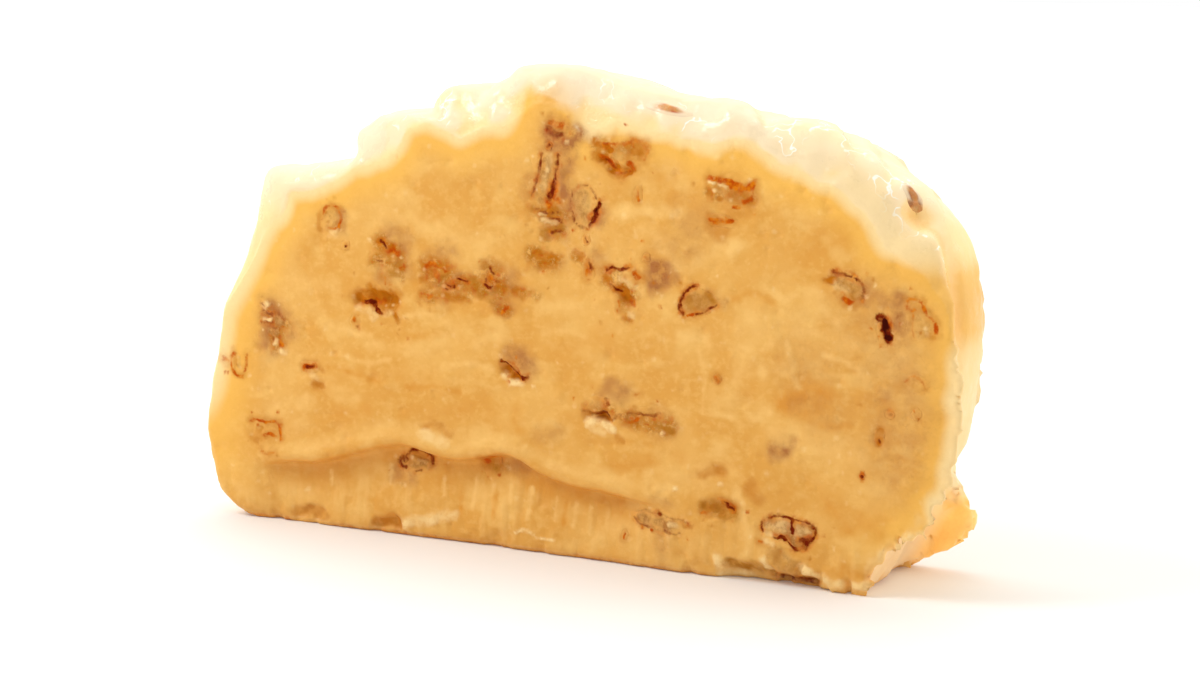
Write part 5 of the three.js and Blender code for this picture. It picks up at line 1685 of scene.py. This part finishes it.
class FUDGE_OT_stage(bpy.types.Operator):
    """Sets the pale floor, soft white light and the camera"""

    bl_idname = "fudge.stage"
    bl_label = "Stage"

    def execute(self, context):
        scene = context.scene
        stage = scene.fudge_stage
        self.add_floor()
        self.add_sky(scene, stage)
        self.add_lights(scene, stage)
        self.add_camera(scene, stage)
        scene.view_settings.view_transform = "Standard"
        return {"FINISHED"}

    def add_floor(self):
        finish = Finish("white_floor")
        finish.shader.inputs["Base Color"].default_value = (0.86, 0.845, 0.815, 1)
        finish.shader.inputs["Roughness"].default_value = 0.7
        finish.shader.inputs["Emission Color"].default_value = (1, 1, 1, 1)
        away = finish.node("ShaderNodeVectorMath", operation="LENGTH")
        finish.put(away.inputs[0], finish.place())
        finish.put(finish.shader.inputs["Emission Strength"], finish.span(away.outputs["Value"], 0.12, 0.9, 0.07, 0.5))
        reach = 3000
        corners = [(-reach, -reach, 0), (reach, -reach, 0), (reach, reach, 0), (-reach, reach, 0)]
        make_object("floor", corners, [(0, 1, 2, 3)], finish.material)

    def add_sky(self, scene, stage):
        """White surroundings, dimmer on the camera's side and brighter above."""
        world = bpy.data.worlds.new("studio")
        world.use_nodes = True
        tree = world.node_tree
        direction = tree.nodes.new("ShaderNodeTexCoord")
        split = tree.nodes.new("ShaderNodeSeparateXYZ")
        tree.links.new(direction.outputs["Generated"], split.inputs[0])
        shares = []
        for output, settings in (
            ("Y", (-0.7, 0.5, stage.sky_front, stage.sky_back)), ("Z", (0.15, 0.9, 0.0, stage.sky_top)),
        ):
            share = tree.nodes.new("ShaderNodeMapRange")
            tree.links.new(split.outputs[output], share.inputs[0])
            for socket, setting in zip(share.inputs[1:5], settings):
                socket.default_value = setting
            shares.append(share)
        total = tree.nodes.new("ShaderNodeMath")
        tree.links.new(shares[0].outputs[0], total.inputs[0])
        tree.links.new(shares[1].outputs[0], total.inputs[1])
        tree.nodes["Background"].inputs["Color"].default_value = (1, 1, 1, 1)
        tree.links.new(total.outputs[0], tree.nodes["Background"].inputs["Strength"])
        scene.world = world

    def add_lights(self, scene, stage):
        for name, power, size, place in (
            ("key_light", stage.key_light, 0.28, (-0.32, -0.27, 0.46)),
            ("top_light", stage.top_light, 0.4, (-0.14, 0.18, 0.56)),
            ("side_light", stage.side_light, 0.3, (0.42, 0.16, 0.2)),
        ):
            light = bpy.data.lights.new(name, "AREA")
            light.energy = power
            light.size = size
            lamp = bpy.data.objects.new(name, light)
            lamp.location = place
            aim = Vector((0, 0, 0.035)) - lamp.location
            lamp.rotation_euler = aim.to_track_quat("-Z", "Y").to_euler()
            lamp.visible_camera = False
            scene.collection.objects.link(lamp)

    def add_camera(self, scene, stage):
        a, e, r = stage.azimuth, stage.elevation, stage.roll
        away = Vector((np.sin(a) * np.cos(e), -np.cos(a) * np.cos(e), np.sin(e)))
        right = Vector((0, 0, 1)).cross(away).normalized()
        up = away.cross(right)
        right, up = right * np.cos(r) + up * np.sin(r), up * np.cos(r) - right * np.sin(r)
        data = bpy.data.cameras.new("camera")
        data.lens = stage.lens
        camera = bpy.data.objects.new("camera", data)
        turn = Matrix((right, up, away)).transposed().to_4x4()
        camera.matrix_world = Matrix.Translation(Vector((0, 0, stage.target_height)) + away * stage.distance) @ turn
        scene.collection.objects.link(camera)
        scene.camera = camera


class FUDGE_PT_panel(bpy.types.Panel):
    """Lists the steps that build the slice"""

    bl_idname = "FUDGE_PT_panel"
    bl_label = "Pecan Fudge Slice"
    bl_space_type = "VIEW_3D"
    bl_region_type = "UI"
    bl_category = "Fudge"

    def draw(self, context):
        for operator in OPERATORS:
            self.layout.operator(operator.bl_idname)
        for group in (context.scene.fudge_sizes, context.scene.fudge_colours, context.scene.fudge_stage):
            for name in group.__annotations__:
                self.layout.prop(group, name)


OPERATORS = (FUDGE_OT_body, FUDGE_OT_cut_pecans, FUDGE_OT_flecks, FUDGE_OT_crown_pecans, FUDGE_OT_stage)
CLASSES = (FudgeSizes, FudgeColours, FudgeStage, *OPERATORS, FUDGE_PT_panel)


def register():
    for cls in CLASSES:
        bpy.utils.register_class(cls)
    bpy.types.Scene.fudge_sizes = PointerProperty(type=FudgeSizes)
    bpy.types.Scene.fudge_colours = PointerProperty(type=FudgeColours)
    bpy.types.Scene.fudge_stage = PointerProperty(type=FudgeStage)


def unregister():
    for name in ("fudge_sizes", "fudge_colours", "fudge_stage"):
        delattr(bpy.types.Scene, name)
    for cls in reversed(CLASSES):
        bpy.utils.unregister_class(cls)


def main():
    register()
    bpy.ops.fudge.body()
    bpy.ops.fudge.cut_pecans()
    bpy.ops.fudge.flecks()
    bpy.ops.fudge.crown_pecans()
    bpy.ops.fudge.stage()


if __name__ == "__main__":
    main()
